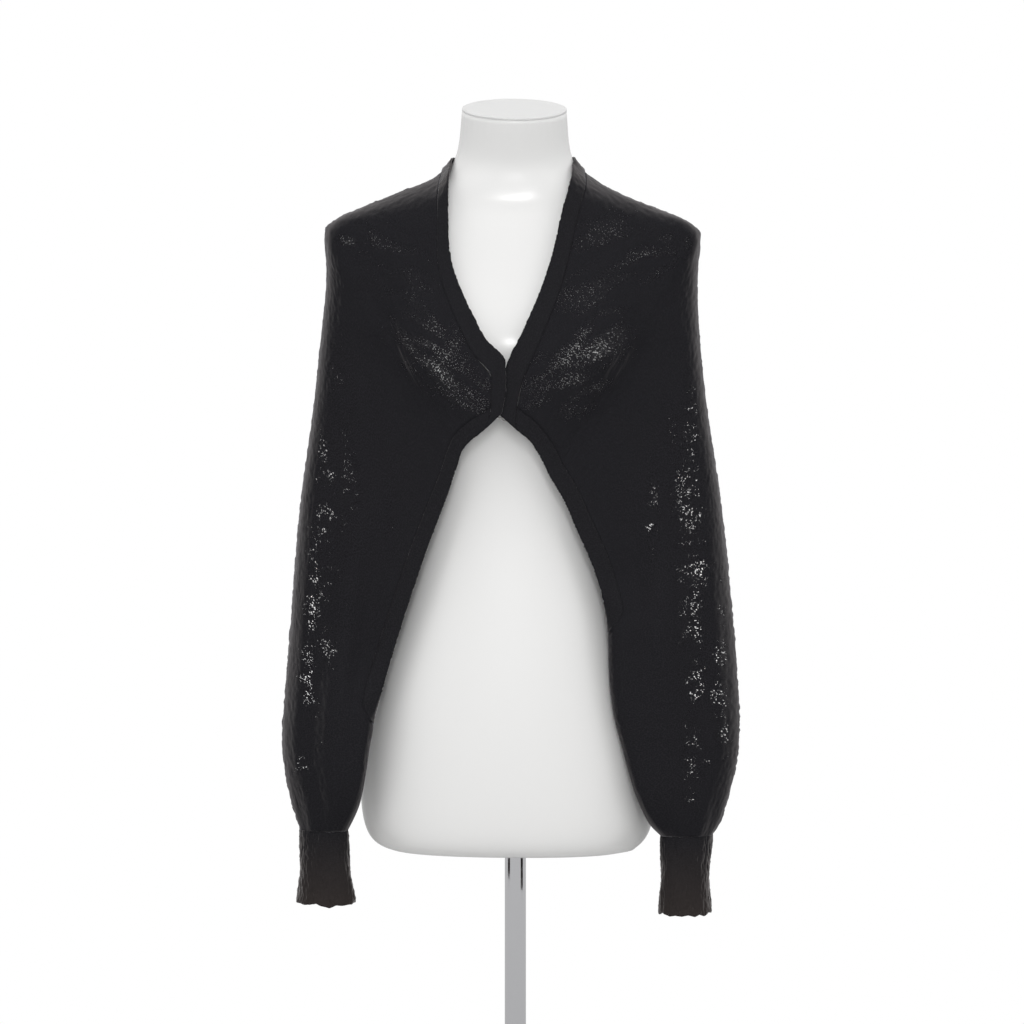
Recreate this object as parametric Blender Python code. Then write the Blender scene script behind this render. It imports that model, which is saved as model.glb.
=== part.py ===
"""A cropped batwing cardigan, knitted from cuff to cuff, worn by a limbless dress form on its stand.

Lengths in the tables are millimetres. X is across (the wearer's right side is -X), the front
faces -Y, Z is up, and the origin is on the floor, on the axis of the stand's pole.
"""

import math

import bpy
import numpy as np
from mathutils import Vector
from mathutils.bvhtree import BVHTree

MM = 0.001

# ---------------------------------------------------------------- driving dimensions
KNIT_WALL = 2.0  # thickness of the bouclé knit
BAND_WALL = 2.6  # thickness of the ribbed edge band
CUFF_WALL = 2.2  # thickness of a cuff between its ribs
SEAM_GAP = 0.4  # clear space between two sewn edges
BAND_WIDTH = 20.0  # the ribbed edge band, from its seam to its free edge
CLOTH_CLEAR = 1.95  # from the form's skin to the middle of the knit where it lies on the form
MIDWAY_CLEAR = 3.3  # the same, midway between the grid's points

FORM_UNDERSIDE = 790.0  # height of the form's underside above the floor
FORM_OFFSET_X = -8.0  # the form sits this far off the pole's axis
FORM_LEAN_DEG = 0.52  # and leans by this much towards the wearer's left
FORM_SIDES = 40
NECK_TILT_DEG = 18.0  # the neck is cut on a slant, down towards the front
NECK_CAP_THICKNESS = 3.0
# The cap's profile from below: share of the neck's radius, and height above the cut.
NECK_CAP_LEVELS = [(0.97, 0.0), (1.0, 0.6), (1.0, NECK_CAP_THICKNESS - 0.6), (0.975, NECK_CAP_THICKNESS)]

POLE_RADIUS = 11.0
BASE_RADIUS = 165.0
BASE_THICKNESS = 9.0
BASE_BOSS_RADIUS = 21.0
BASE_BOSS_HEIGHT = 26.0
# The base's profile round the pole, from the underside outwards and up: radius and height.
BASE_PROFILE = [
    (BASE_RADIUS - 3, 0.0),
    (BASE_RADIUS, 3.0),
    (BASE_RADIUS, BASE_THICKNESS - 2),
    (BASE_RADIUS - 3, BASE_THICKNESS),
    (BASE_BOSS_RADIUS + 3, BASE_THICKNESS + 1.5),
    (BASE_BOSS_RADIUS, BASE_THICKNESS + 5),
    (BASE_BOSS_RADIUS, BASE_BOSS_HEIGHT - 2),
    (BASE_BOSS_RADIUS - 2, BASE_BOSS_HEIGHT),
]
TOUCH_GAP = 0.3  # between two pieces that rest on each other

CUFF_RIBS = 20
CUFF_RIB_HEIGHT = 0.8
CUFF_ROWS = 3
# One row for each level: distance below the sleeve, the outer edge's x and y, the inner edge's
# x and y, and half the depth from front to back.
CUFF_LEVELS = {
    "right": [
        (0, -221, -35, -172, -50, 22),
        (36, -220.5, -36, -170, -49, 22),
        (75, -223.5, -38, -165, -46, 24),
    ],
    "left": [
        (0, 202, -36, 149, -52, 22),
        (36, 198.5, -37, 149.5, -51, 22),
        (80, 200, -39, 147.5, -48, 24),
    ],
}

WIRE_RADIUS = 0.6  # the hook and the eye are bent from this wire
FASTENING = (-14.0, -113.3, 1236.0)  # the middle of the hook, at the fastening's lower end
EYE_HALF = 3.6  # half the width of the eye's loop
EYE_REACH = 14.0  # from the hook to the ends of the eye's legs,
EYE_RISE = 1.6  # which are bent forward to the band by this much
EYE_LOOP = 5.0  # length of its rounded end
HOOK_OPENING = 3.4  # between the middles of the hook's two legs
HOOK_SHANK = 12.0  # the sewn leg, from the middle of the hook,
HOOK_BEND = 2.0  # the start of the bend, the other way,
HOOK_TIP = 3.0  # and the free leg's end
WIRE_STEPS = 8  # straight stretches in a half turn

# How finely the knitting is divided.
NECK_ROWS = 5
FRONT_BAND_ROWS = 2  # the first rows of a front belong to the neck band
UPPER_ROWS = 14
SLEEVE_ROWS = 16
WRIST_ROWS = 5
FRONT_COLUMNS = 13
BACK_COLUMNS = 13
BAND_COLUMNS = 2
SHOULDER_END = 215.0  # the rows are closer from the neck to here, just past the shoulder
TURN_WEIGHT = 0.55  # how far the columns crowd towards the folds at the edges
DRAPE_ROUNDS = 8
SETTLE_ROUNDS = 5

# ---------------------------------------------------------------- the dress form
# One row for each level: height above the underside, half width, depth to the front, depth to
# the back, squareness of the outline (2 is an ellipse), and how far the centre lies to the back.
FORM_LEVELS = [
    (0, 118, 72, 80, 2.2, 4),
    (3, 132, 84, 92, 2.2, 4),
    (10, 143, 93, 102, 2.2, 4),
    (24, 151, 99, 109, 2.2, 4),
    (50, 155, 102, 114, 2.2, 4),
    (95, 156, 104, 116, 2.2, 4),
    (145, 150, 104, 110, 2.2, 4),
    (200, 138, 101, 95, 2.2, 3),
    (255, 123, 95, 80, 2.2, 2),
    (305, 114, 89, 72, 2.2, 2),
    (345, 112, 86, 72, 2.2, 3),
    (395, 117, 87, 78, 2.2, 4),
    (440, 124, 90, 86, 2.3, 4),
    (480, 131, 92, 92, 2.3, 4),
    (515, 137, 91, 97, 2.4, 4),
    (545, 144, 86, 99, 2.5, 4),
    (572, 155, 79, 98, 2.6, 4),
    (596, 170, 71, 95, 2.8, 4),
    (616, 183, 64, 90, 3.0, 3),
    (630, 190, 59, 84, 3.0, 3),
    (641, 191, 55, 79, 2.9, 3),
    (650, 186, 52, 74, 2.7, 4),
    (658, 171, 49, 70, 2.5, 6),
    (667, 148, 48, 67, 2.3, 8),
    (677, 122, 49, 64, 2.2, 10),
    (687, 100, 51, 61, 2.1, 12),
    (697, 80, 52, 57, 2.0, 13),
    (709, 66, 51, 54, 2.0, 13),
    (724, 59, 52, 53, 2.0, 11),
    (745, 56.5, 54, 54, 2.0, 6),
    (770, 54.5, 55, 55, 2.0, -1),
]
NECK_TILT_FROM = 680.0  # the levels begin to slant here and are fully slanted at the top
BUST_HEIGHT = 507.0  # above the underside
BUST_SPACING = 76.0  # of each mound from the middle
BUST_SWELL = 36.0
BUST_SPREAD = (58.0, 66.0, 50.0)  # sideways, upwards, downwards
BUST_FADE = 1.6  # how soon the swell is full, from the side seam to the front

# ---------------------------------------------------------------- the garment's outline
# The panels are ruled between the overarm line (shoulder and outer fold of the sleeve) and the
# opening's free edge. One row for each course of knitting that is named: its distance from the
# neck along the overarm line, the point on that line, the point on the front's free edge or
# underarm fold, and how far the cloth swells to the front between them.
# Columns: along, over_x, over_y, over_z, edge_x, edge_y, edge_z, swell.
FRONT_COURSES = {
    "right": [
        (0, -66, 4, 1508, -15.5, -119, 1240, 0),
        (20, -76, 4, 1494.5, -34, -116, 1227, 3),
        (65, -117, 2, 1475.5, -48, -112.5, 1214, 10),
        (115, -163, 0, 1455, -55, -110, 1200, 18),
        (150, -191, -2, 1441, -58, -108.5, 1190, 24),
        (163, -200, -3, 1431, -60, -108, 1184, 25),
        (178, -198, -4, 1414, -62, -107, 1178, 26),
        (210, -197, -6, 1385, -67, -105, 1163, 27),
        (270, -203, -8, 1325, -76, -101, 1138, 29),
        (350, -211, -12, 1247, -90, -96, 1098, 31),
        (440, -224, -16, 1154, -107, -91, 1043, 32),
        (530, -231, -20, 1065, -122, -88, 993, 32),
        (600, -236, -23, 995, -134, -87, 954, 32),
        (650, -240, -26, 945, -141, -87, 928, 32),
        (690, -242, -28, 905, -146, -85, 896, 31),
        (735, -238, -31, 862, -152, -80, 862, 28),
        (768, -229, -34, 832, -162, -66, 836, 24),
        (786, -221, -35, 816, -172, -50, 816, 22),
    ],
    "left": [
        (0, 59, 4, 1508, -14.5, -119, 1240, 0),
        (20, 72, 4, 1495, 10, -116, 1228, 3),
        (65, 113, 2, 1471, 18, -113.5, 1215, 10),
        (115, 158, 0, 1450, 24, -111.5, 1201, 18),
        (148, 184, -2, 1437, 28, -110.5, 1191, 24),
        (161, 193, -3, 1428, 30, -110, 1187, 25),
        (176, 191, -4, 1411, 32, -109, 1182, 26),
        (208, 188, -6, 1380, 38, -107.5, 1171, 27),
        (270, 191, -8, 1320, 48, -104, 1152, 29),
        (350, 199, -12, 1243, 60, -100, 1124, 31),
        (440, 212, -16, 1156, 75, -95.5, 1088, 33),
        (520, 220, -19, 1078, 86, -92, 1050, 34),
        (580, 226, -22, 1019, 90, -91, 1020, 34),
        (640, 230, -25, 960, 91.5, -90, 985, 33),
        (690, 231.5, -28, 915, 97, -87.5, 942, 32),
        (735, 229, -31, 877, 107, -84, 900, 29),
        (770, 220, -34, 844, 123, -78, 850, 26),
        (790, 211, -35, 825, 137, -66, 824, 23),
        (804, 202, -36, 811, 149, -52, 811, 22),
    ],
}
# The back is ruled from the seam of its neck band, and past the shoulder line from the same
# overarm line, to the hem behind the form. Its rows start at the middle of the back; from the
# underarm on it ends at the front's underarm fold. Columns: along, x, y, z.
BACK_NECK = {
    "right": [(-62, -2, 72, 1499), (-30, -34, 66, 1500), (0, -66, 36, 1499), (20, -76, 4, 1494.5)],
    "left": [(-62, -2, 72, 1499), (-30, 31, 66, 1500), (0, 62, 36, 1499), (20, 72, 4, 1495)],
}
# Columns: along, edge_x, edge_y, edge_z, swell.
BACK_HEM = {
    "right": [
        (-62, -2, 100, 1110, 0),
        (-30, -34, 99, 1109, 4),
        (0, -56, 95, 1107, 8),
        (20, -68, 92, 1105, 12),
        (65, -88, 85, 1101, 20),
        (115, -106, 76, 1095, 28),
        (150, -117, 69, 1090, 32),
        (178, -125, 62, 1086, 34),
        (210, -133, 54, 1081, 36),
        (270, -146, 36, 1071, 38),
        (350, -157, 12, 1056, 39),
        (440, -161, -16, 1034, 38),
        (530, -158, -46, 1001, 36),
        (600, -150, -71, 962, 33),
        (650, -141, -87, 928, 32),
    ],
    "left": [
        (-62, -2, 100, 1110, 0),
        (-30, 32, 99, 1111, 4),
        (0, 53, 95, 1113, 8),
        (20, 66, 92, 1114, 12),
        (65, 86, 85, 1118, 20),
        (115, 105, 76, 1121, 28),
        (148, 117, 67, 1124, 32),
        (176, 126, 58, 1126, 34),
        (208, 135, 45, 1128, 36),
        (270, 146, 16, 1130, 38),
        (350, 142, -20, 1125, 38),
        (440, 127, -53, 1106, 37),
        (520, 106, -76, 1067, 36),
        (580, 90, -91, 1020, 34),
    ],
}
UNDERARM = {"right": 650.0, "left": 580.0}  # where the opening ends and the sleeve is closed
BAND_TAPER = 34.0  # the edge band runs out over this length above the underarm,
BAND_TIP = 0.15  # to this share of its width,
BAND_STOP = 5.0  # and stops this far short of it
# Above the underarm, the lengths over which the courses of front and back come to turn round
# the sleeve.
FRONT_CLOSING = 120.0
BACK_CLOSING = 50.0
USUAL_WIDTH = 160.0  # of a panel, to weigh a share of the width against a distance along it
OPEN_SWELL = 2.2  # how full a course with a free edge is,
OPEN_FALL = 1.6  # and how soon it comes in again towards that edge
CALM_SHARE = 0.08  # folds fade out over this share of the width, next to a seam

# The free edge of the neck band, from the shoulder line down the neckline to the fastening.
NECKLINE = {
    "right": [
        (-66, 4, 1508),
        (-68.5, -34, 1488),
        (-69, -51, 1470),
        (-68.5, -62, 1445),
        (-68, -72, 1419),
        (-65, -80, 1396),
        (-57, -91, 1372),
        (-42, -105, 1338),
        (-27, -113, 1311),
        (-9, -118, 1285),
        (-12, -119, 1262),
        (-15.5, -119, 1240),
    ],
    "left": [
        (59, 4, 1508),
        (58, -34, 1488),
        (53.5, -51, 1470),
        (46.5, -63, 1444),
        (41, -72, 1418),
        (35, -81, 1395),
        (26, -92, 1368),
        (13, -104, 1336),
        (2, -112, 1312),
        (-7.5, -118, 1285),
        (-11, -119, 1262),
        (-14.5, -119, 1240),
    ],
}
NECKLINE_REACH = 170.0  # its curve fades out of the knitting over this length
# The free edge of the band behind the neck, from the middle of the back to the shoulder line.
# Columns: along, x, y, z.
NECK_BAND_TOP = {
    "right": [(-62, -2, 69, 1517), (-30, -31, 63, 1517), (0, -56, 38, 1514), (20, -66, 4, 1508)],
    "left": [(-62, -2, 69, 1517), (-30, 28, 63, 1517), (0, 52, 38, 1514), (20, 59, 4, 1508)],
}

# ---------------------------------------------------------------- soft folds
# A fold runs from one course and share of the width to another; the share is 0 at the overarm
# line and 1 at the free edge. A positive depth is a ridge, a negative one a trough.
# Columns: from_along, from_share, to_along, to_share, half_width, depth.
PULL_FOLDS = [  # drawn from the shoulder and the sleeve to the fastening
    (165, 0.16, 40, 0.86, 12, 3.4),
    (230, 0.14, 44, 0.92, 14, 4.2),
    (320, 0.20, 60, 0.97, 15, 3.8),
    (190, 0.26, 60, 0.80, 10, -3.0),
    (270, 0.30, 75, 0.93, 12, -3.6),
    (120, 0.12, 34, 0.70, 11, 2.6),
]
HANG_FOLDS = [  # fall along the front of the sleeve
    (250, 0.30, 760, 0.36, 12, -6.5),
    (330, 0.52, 765, 0.62, 13, 6.0),
    (300, 0.70, 735, 0.80, 10, -5.0),
    (420, 0.16, 770, 0.20, 9, 4.0),
    (190, 0.45, 450, 0.60, 14, -4.5),
]
GATHER_SHARES = [0.14, 0.30, 0.47, 0.63, 0.80]  # small pleats where the sleeve meets the cuff
GATHER_LENGTH = 70.0
GATHER_DEPTH = 2.6
GATHER_HALF_WIDTH = 5.0
BACK_FOLDS = [  # fall from the shoulder blades to the hem and along the back of the sleeve
    (30, 0.30, 8, 1.02, 14, 5.0),
    (75, 0.25, 45, 1.02, 15, -6.5),
    (120, 0.22, 92, 1.02, 15, 8.0),
    (165, 0.20, 155, 1.00, 13, -7.0),
    (210, 0.20, 240, 1.00, 14, 7.5),
    (255, 0.30, 300, 0.92, 13, -5.0),
    (300, 0.24, 720, 0.34, 12, 6.5),
    (380, 0.44, 760, 0.56, 12, -6.0),
    (450, 0.66, 740, 0.76, 11, 5.0),
]


def smooth_through(keys, rows, at):
    """Values at the places `at` on a smooth curve through the rows, which stand at `keys`."""
    keys = np.asarray(keys, float)
    rows = np.asarray(rows, float)
    at = np.clip(np.asarray(at, float), keys[0], keys[-1])
    steps = np.diff(keys)[:, None]
    rises = np.diff(rows, axis=0) / steps
    slopes = np.empty_like(rows)
    slopes[0], slopes[-1] = rises[0], rises[-1]
    before, after = steps[:-1], steps[1:]
    slopes[1:-1] = (rises[:-1] * after + rises[1:] * before) / (before + after)
    i = np.clip(np.searchsorted(keys, at, side="right") - 1, 0, len(keys) - 2)
    h = steps[i]
    t = ((at - keys[i])[:, None]) / h
    return (
        (2 * t**3 - 3 * t**2 + 1) * rows[i]
        + (t**3 - 2 * t**2 + t) * h * slopes[i]
        + (3 * t**2 - 2 * t**3) * rows[i + 1]
        + (t**3 - t**2) * h * slopes[i + 1]
    )


def smooth_step(x):
    x = np.clip(x, 0.0, 1.0)
    return x * x * (3 - 2 * x)


# ---------------------------------------------------------------- objects
def material(name, colour, roughness, metallic=0.0):
    made = bpy.data.materials.new(name)
    made.use_nodes = True
    shader = made.node_tree.nodes["Principled BSDF"]
    shader.inputs["Base Color"].default_value = (*colour, 1.0)
    shader.inputs["Roughness"].default_value = roughness
    shader.inputs["Metallic"].default_value = metallic
    return made


def mesh_object(name, points, faces, finish):
    """An object from points in millimetres."""
    mesh = bpy.data.meshes.new(name)
    mesh.from_pydata([tuple(p) for p in np.asarray(points) * MM], [], faces)
    mesh.validate()
    mesh.shade_smooth()
    mesh.set_sharp_from_angle(angle=math.radians(50))
    mesh.materials.append(finish)
    made = bpy.data.objects.new(name, mesh)
    bpy.context.scene.collection.objects.link(made)
    return made


def ring_solid(rings):
    """Points and faces of a closed solid through rings of equal count, capped at both ends."""
    count = len(rings[0])
    points = [p for ring in rings for p in ring]
    faces = [tuple(reversed(range(count)))]
    for i in range(len(rings) - 1):
        low, high = i * count, (i + 1) * count
        for j in range(count):
            k = (j + 1) % count
            faces.append((low + j, low + k, high + k, high + j))
    top = (len(rings) - 1) * count
    faces.append(tuple(range(top, top + count)))
    return points, faces


def turned(profile, sides):
    """Rings of a solid turned about Z, from (radius, height) pairs, bottom first."""
    angles = [2 * math.pi * i / sides for i in range(sides)]
    return [[(r * math.cos(a), r * math.sin(a), z) for a in angles] for r, z in profile]


def wall_solid(middle, normals, thickness):
    """Points and faces of a wall around the grid of points `middle`, half of it to each side."""
    rows, columns = middle.shape[:2]
    outer = middle + normals * thickness / 2
    inner = middle - normals * thickness / 2
    points = np.concatenate([outer.reshape(-1, 3), inner.reshape(-1, 3)])
    inside = rows * columns

    def at(i, j):
        return i * columns + j

    faces = []
    for i in range(rows - 1):
        for j in range(columns - 1):
            quad = (at(i, j), at(i + 1, j), at(i + 1, j + 1), at(i, j + 1))
            faces.append(quad)
            faces.append(tuple(inside + k for k in reversed(quad)))
    rim = [((0, j + 1), (0, j)) for j in range(columns - 1)]
    rim += [((rows - 1, j), (rows - 1, j + 1)) for j in range(columns - 1)]
    rim += [((i, 0), (i + 1, 0)) for i in range(rows - 1)]
    rim += [((i + 1, columns - 1), (i, columns - 1)) for i in range(rows - 1)]
    for a, b in rim:
        a, b = at(*a), at(*b)
        far_a, far_b = inside + a, inside + b
        # Two rims that face each other are split along the same, shorter diagonal.
        if np.linalg.norm(points[b] - points[far_a]) < np.linalg.norm(points[a] - points[far_b]):
            faces += [(b, a, far_a), (b, far_a, far_b)]
        else:
            faces += [(b, a, far_b), (a, far_a, far_b)]
    return points, faces


def unit(vectors):
    return vectors / np.maximum(np.linalg.norm(vectors, axis=-1, keepdims=True), 1e-9)


# ---------------------------------------------------------------- the form
def form_rings():
    lean = math.radians(FORM_LEAN_DEG)
    top = FORM_LEVELS[-1][0]
    rings = []
    for height, half_width, front, back, squareness, centre_y in FORM_LEVELS:
        tilt = smooth_step((height - NECK_TILT_FROM) / (top - NECK_TILT_FROM))
        slope = math.tan(math.radians(NECK_TILT_DEG) * float(tilt))
        ring = []
        for i in range(FORM_SIDES):
            angle = 2 * math.pi * (i + 0.5) / FORM_SIDES
            c, s = math.cos(angle), math.sin(angle)
            power = 2 / squareness
            x = half_width * math.copysign(abs(c) ** power, c)
            y = (front if s < 0 else back) * math.copysign(abs(s) ** power, s)
            swell = 0.0
            if s < 0:
                up = height - BUST_HEIGHT
                spread = BUST_SPREAD[1] if up > 0 else BUST_SPREAD[2]
                for middle in (-BUST_SPACING, BUST_SPACING):
                    sideways = (x - middle) / BUST_SPREAD[0]
                    swell += math.exp(-(sideways**2) - (up / spread) ** 2)
                swell *= BUST_SWELL * min(1.0, -BUST_FADE * s)
            z = height + slope * y
            y += centre_y - swell
            ring.append(
                (
                    FORM_OFFSET_X + x * math.cos(lean) + z * math.sin(lean),
                    y,
                    FORM_UNDERSIDE + z * math.cos(lean) - x * math.sin(lean),
                )
            )
        rings.append(ring)
    return rings


def build_form(finish, cap_finish):
    rings = form_rings()
    points, faces = ring_solid(rings)
    mesh_object("form_torso", points, faces, finish)
    # The cap is a thin disc on the slanted cut of the neck.
    rim = np.array(rings[-1])
    centre = rim.mean(axis=0)
    up = unit(np.cross(rim[0] - centre, rim[FORM_SIDES // 4] - centre))
    cap = [
        [tuple(centre + (p - centre) * share + up * (TOUCH_GAP + rise)) for p in rim]
        for share, rise in NECK_CAP_LEVELS
    ]
    mesh_object("form_neck_cap", *ring_solid(cap), cap_finish)
    triangles = [tuple(f) for f in faces]
    return BVHTree.FromPolygons([Vector(p) for p in points], triangles)


def build_stand(finish):
    bore = POLE_RADIUS + TOUCH_GAP
    base = BASE_PROFILE + [(bore, BASE_BOSS_HEIGHT), (bore, BASE_THICKNESS)]
    mesh_object("stand_base", *ring_solid(turned(base, 30)), finish)
    pole = [
        (POLE_RADIUS, BASE_THICKNESS + TOUCH_GAP),
        (POLE_RADIUS, FORM_UNDERSIDE - TOUCH_GAP - 0.15),
    ]
    mesh_object("stand_pole", *ring_solid(turned(pole, 24)), finish)


# ---------------------------------------------------------------- the knitting
class Panel:
    """One side's front or back: the smooth surface that its pieces are cut from."""

    def __init__(self, side, front):
        self.front = front
        self.forward = -1.0 if front else 1.0
        self.underarm = UNDERARM[side]
        self.courses = np.array(FRONT_COURSES[side], float)
        self.back_neck = np.array(BACK_NECK[side], float)
        self.back_hem = np.array(BACK_HEM[side], float)
        self.end = self.courses[-1, 0]
        self.folds = list(PULL_FOLDS + HANG_FOLDS if front else BACK_FOLDS)
        for i, share in enumerate(GATHER_SHARES):
            depth = GATHER_DEPTH * (-1 if (i + front) % 2 else 1)
            start = self.end - GATHER_LENGTH
            self.folds.append((start, share, self.end + 8, share, GATHER_HALF_WIDTH, depth))
        line = np.array(NECKLINE[side], float)
        lengths = np.concatenate([[0], np.cumsum(np.linalg.norm(np.diff(line, axis=0), axis=1))])
        self.neck_keys, self.neck_line = lengths / lengths[-1], line

    def course(self, along):
        """The overarm point, the free edge point and the swell at each distance along."""
        rows = smooth_through(self.courses[:, 0], self.courses[:, 1:], along)
        over, edge, swell = rows[:, 0:3], rows[:, 3:6], rows[:, 6]
        if not self.front:
            neck = smooth_through(self.back_neck[:, 0], self.back_neck[:, 1:], along)
            hem = smooth_through(self.back_hem[:, 0], self.back_hem[:, 1:], along)
            over = np.where((along < BAND_WIDTH)[:, None], neck, over)
            edge = np.where((along < self.underarm)[:, None], hem[:, :3], edge)
            swell = np.where(along < self.underarm, hem[:, 3], swell)
        return over, edge, swell

    def closedness(self, along):
        """0 where the course ends at a free edge, 1 where it turns round the sleeve."""
        closing = FRONT_CLOSING if self.front else BACK_CLOSING
        return smooth_step((np.asarray(along) - self.underarm) / closing + 1)

    def band_share(self, along):
        """The share of the width at which the edge band is sewn on."""
        over, edge, _ = self.course(along)
        width = np.linalg.norm(edge - over, axis=1)
        taper = np.clip((self.underarm - along) / BAND_TAPER, BAND_TIP, 1.0)
        return 1 - BAND_WIDTH * np.where(along < self.underarm, taper, 0.0) / width

    def surface(self, along, share):
        """Points for arrays of equal shape that hold distances along and shares of the width."""
        shape = np.shape(along)
        along, share = np.ravel(along), np.ravel(share)
        over, edge, swell = self.course(along)
        s = share[:, None]
        points = over * (1 - s) + edge * s
        closed = self.closedness(along)
        w = 1 - share
        open_arc = OPEN_SWELL * w**OPEN_FALL * np.sqrt(np.clip(1 - w * w, 0, 1))
        tube_arc = 2 * np.sqrt(np.clip(share * w, 0, 1))
        arc = open_arc * (1 - closed) + tube_arc * closed
        points[:, 1] += self.forward * swell * arc
        if self.front:
            neck = smooth_through(self.neck_keys, self.neck_line, share)
            chord = self.neck_line[0] * (1 - s) + self.neck_line[-1] * s
            fade = 1 - smooth_step(along / NECKLINE_REACH)
            points += (neck - chord) * fade[:, None]
        width = np.linalg.norm(edge - over, axis=1)
        points[:, 1] += self.forward * self.fold_depth(along, share, width)
        return points.reshape(*shape, 3)

    def fold_depth(self, along, share, width):
        total = np.zeros(len(along))
        closed = self.closedness(along)
        calm = smooth_step(share / CALM_SHARE)
        calm *= 1 - closed * (1 - smooth_step((1 - share) / CALM_SHARE))
        for from_along, from_share, to_along, to_share, half_width, depth in self.folds:
            run = np.array([to_along - from_along, (to_share - from_share) * USUAL_WIDTH])
            back_along = along - from_along
            back_across = (share - from_share) * USUAL_WIDTH
            t = np.clip((back_along * run[0] + back_across * run[1]) / (run @ run), 0, 1)
            off_along = back_along - t * run[0]
            off_across = (share - from_share - t * (to_share - from_share)) * width
            off = np.hypot(off_along, off_across)
            rise = np.sin(np.pi * np.clip(t, 0.02, 0.98)) ** 0.6
            total += depth * rise * np.exp(-((off / half_width) ** 2))
        return total * calm

    def stations(self):
        """Distances along at which the panel has a row of points."""
        upper = np.linspace(BAND_WIDTH, SHOULDER_END, UPPER_ROWS + 1)
        gathered = self.end - GATHER_LENGTH
        sleeve = np.linspace(SHOULDER_END, gathered, SLEEVE_ROWS + 1)[1:]
        nearest = np.argmin(np.abs(sleeve - self.underarm))
        sleeve[nearest] = self.underarm
        sleeve = np.insert(sleeve, nearest, self.underarm - BAND_STOP)
        wrist = np.linspace(gathered, self.end, WRIST_ROWS + 1)[1:]
        common = np.concatenate([upper, sleeve, wrist])
        if self.front:
            return np.concatenate([[0, BAND_WIDTH / 2], common])
        neck = np.linspace(self.back_neck[0, 0], BAND_WIDTH, NECK_ROWS + 1)[:-1]
        return np.concatenate([neck, common])

    def draped(self, skin):
        """The grid of points on the form, with the columns of the edge band last."""
        along = self.stations()
        columns = FRONT_COLUMNS if self.front else BACK_COLUMNS
        t = np.linspace(0, 1, columns + 1)[None, :]
        closed = self.closedness(along)[:, None]
        turned_over = (1 - np.cos(np.pi * t / 2)) * (1 - closed) + (1 - np.cos(np.pi * t)) / 2 * closed
        seam = self.band_share(along)[:, None]
        shares = (TURN_WEIGHT * turned_over + (1 - TURN_WEIGHT) * t) * seam
        in_band = np.linspace(0, 1, BAND_COLUMNS + 1)[None, 1:]
        shares = np.concatenate([shares, seam + (1 - seam) * in_band], axis=1)
        grid = self.surface(np.repeat(along[:, None], shares.shape[1], axis=1), shares)
        held = np.zeros(grid.shape[:2])
        held[along > BAND_WIDTH - 1, 0] = 1
        held[along >= self.underarm, columns:] = 1
        drape(grid, skin, held)
        self.along = along
        normals = outward(grid, self.forward)
        hem = along >= self.underarm
        self.columns = columns
        self.square_to_seam(grid, normals, 0, along > -1e9)
        self.square_to_seam(grid, normals, columns, hem)
        last = normals[-1]
        last[:, 2] = 0
        normals[-1] = unit(last)
        self.grid, self.normals = grid, normals
        self.underarm_row = int(np.flatnonzero(hem)[0])

    def square_to_seam(self, grid, normals, column, rows):
        """Along an overarm or underarm fold the wall is cut square, for the seam to close."""
        if not self.front and column == 0:
            rows = rows & (self.along > BAND_WIDTH - 1)
        run = np.zeros_like(grid[:, column])
        run[rows] = np.gradient(grid[rows, column], axis=0)
        side = unit(np.cross(run, [0.0, 1.0, 0.0]))
        middle = grid[:, self.columns // 2]
        turn = np.sign((side * (grid[:, column] - middle)).sum(axis=1))
        normals[rows, column] = (side * turn[:, None])[rows]
        grid[rows, column, 1] += self.forward * SEAM_GAP / 2


def outward(grid, forward):
    """Normals of the grid of points, on the side that faces away from the form."""
    normals = unit(np.cross(np.gradient(grid, axis=0), np.gradient(grid, axis=1)))
    return normals if normals[..., 1].mean() * forward > 0 else -normals


def stand_off(points, skin, clear=CLOTH_CLEAR):
    """How far each point has to move for it to be clear of the form."""
    moves = np.zeros((len(points), 3))
    for i, point in enumerate(points):
        place, normal, _, _ = skin.find_nearest(Vector(point))
        short = clear - (Vector(point) - place).dot(normal)
        if short > 0:
            moves[i] = normal * short
    return moves


def further(moves, others):
    """The longer of two moves at each point."""
    longer = np.linalg.norm(others, axis=-1) > np.linalg.norm(moves, axis=-1)
    return np.where(longer[..., None], others, moves)


def line_stand_off(line, skin):
    """Moves for the points of a fold line, up and sideways only, for its stretches to be clear."""
    lift = np.zeros_like(line)
    for _ in range(DRAPE_ROUNDS):
        now = line + lift
        moves = stand_off(now, skin)
        between = stand_off((now[1:] + now[:-1]) / 2, skin)
        moves[1:] = further(moves[1:], between)
        moves[:-1] = further(moves[:-1], between)
        lift += moves * [1, 0, 1]
    return lift


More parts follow.
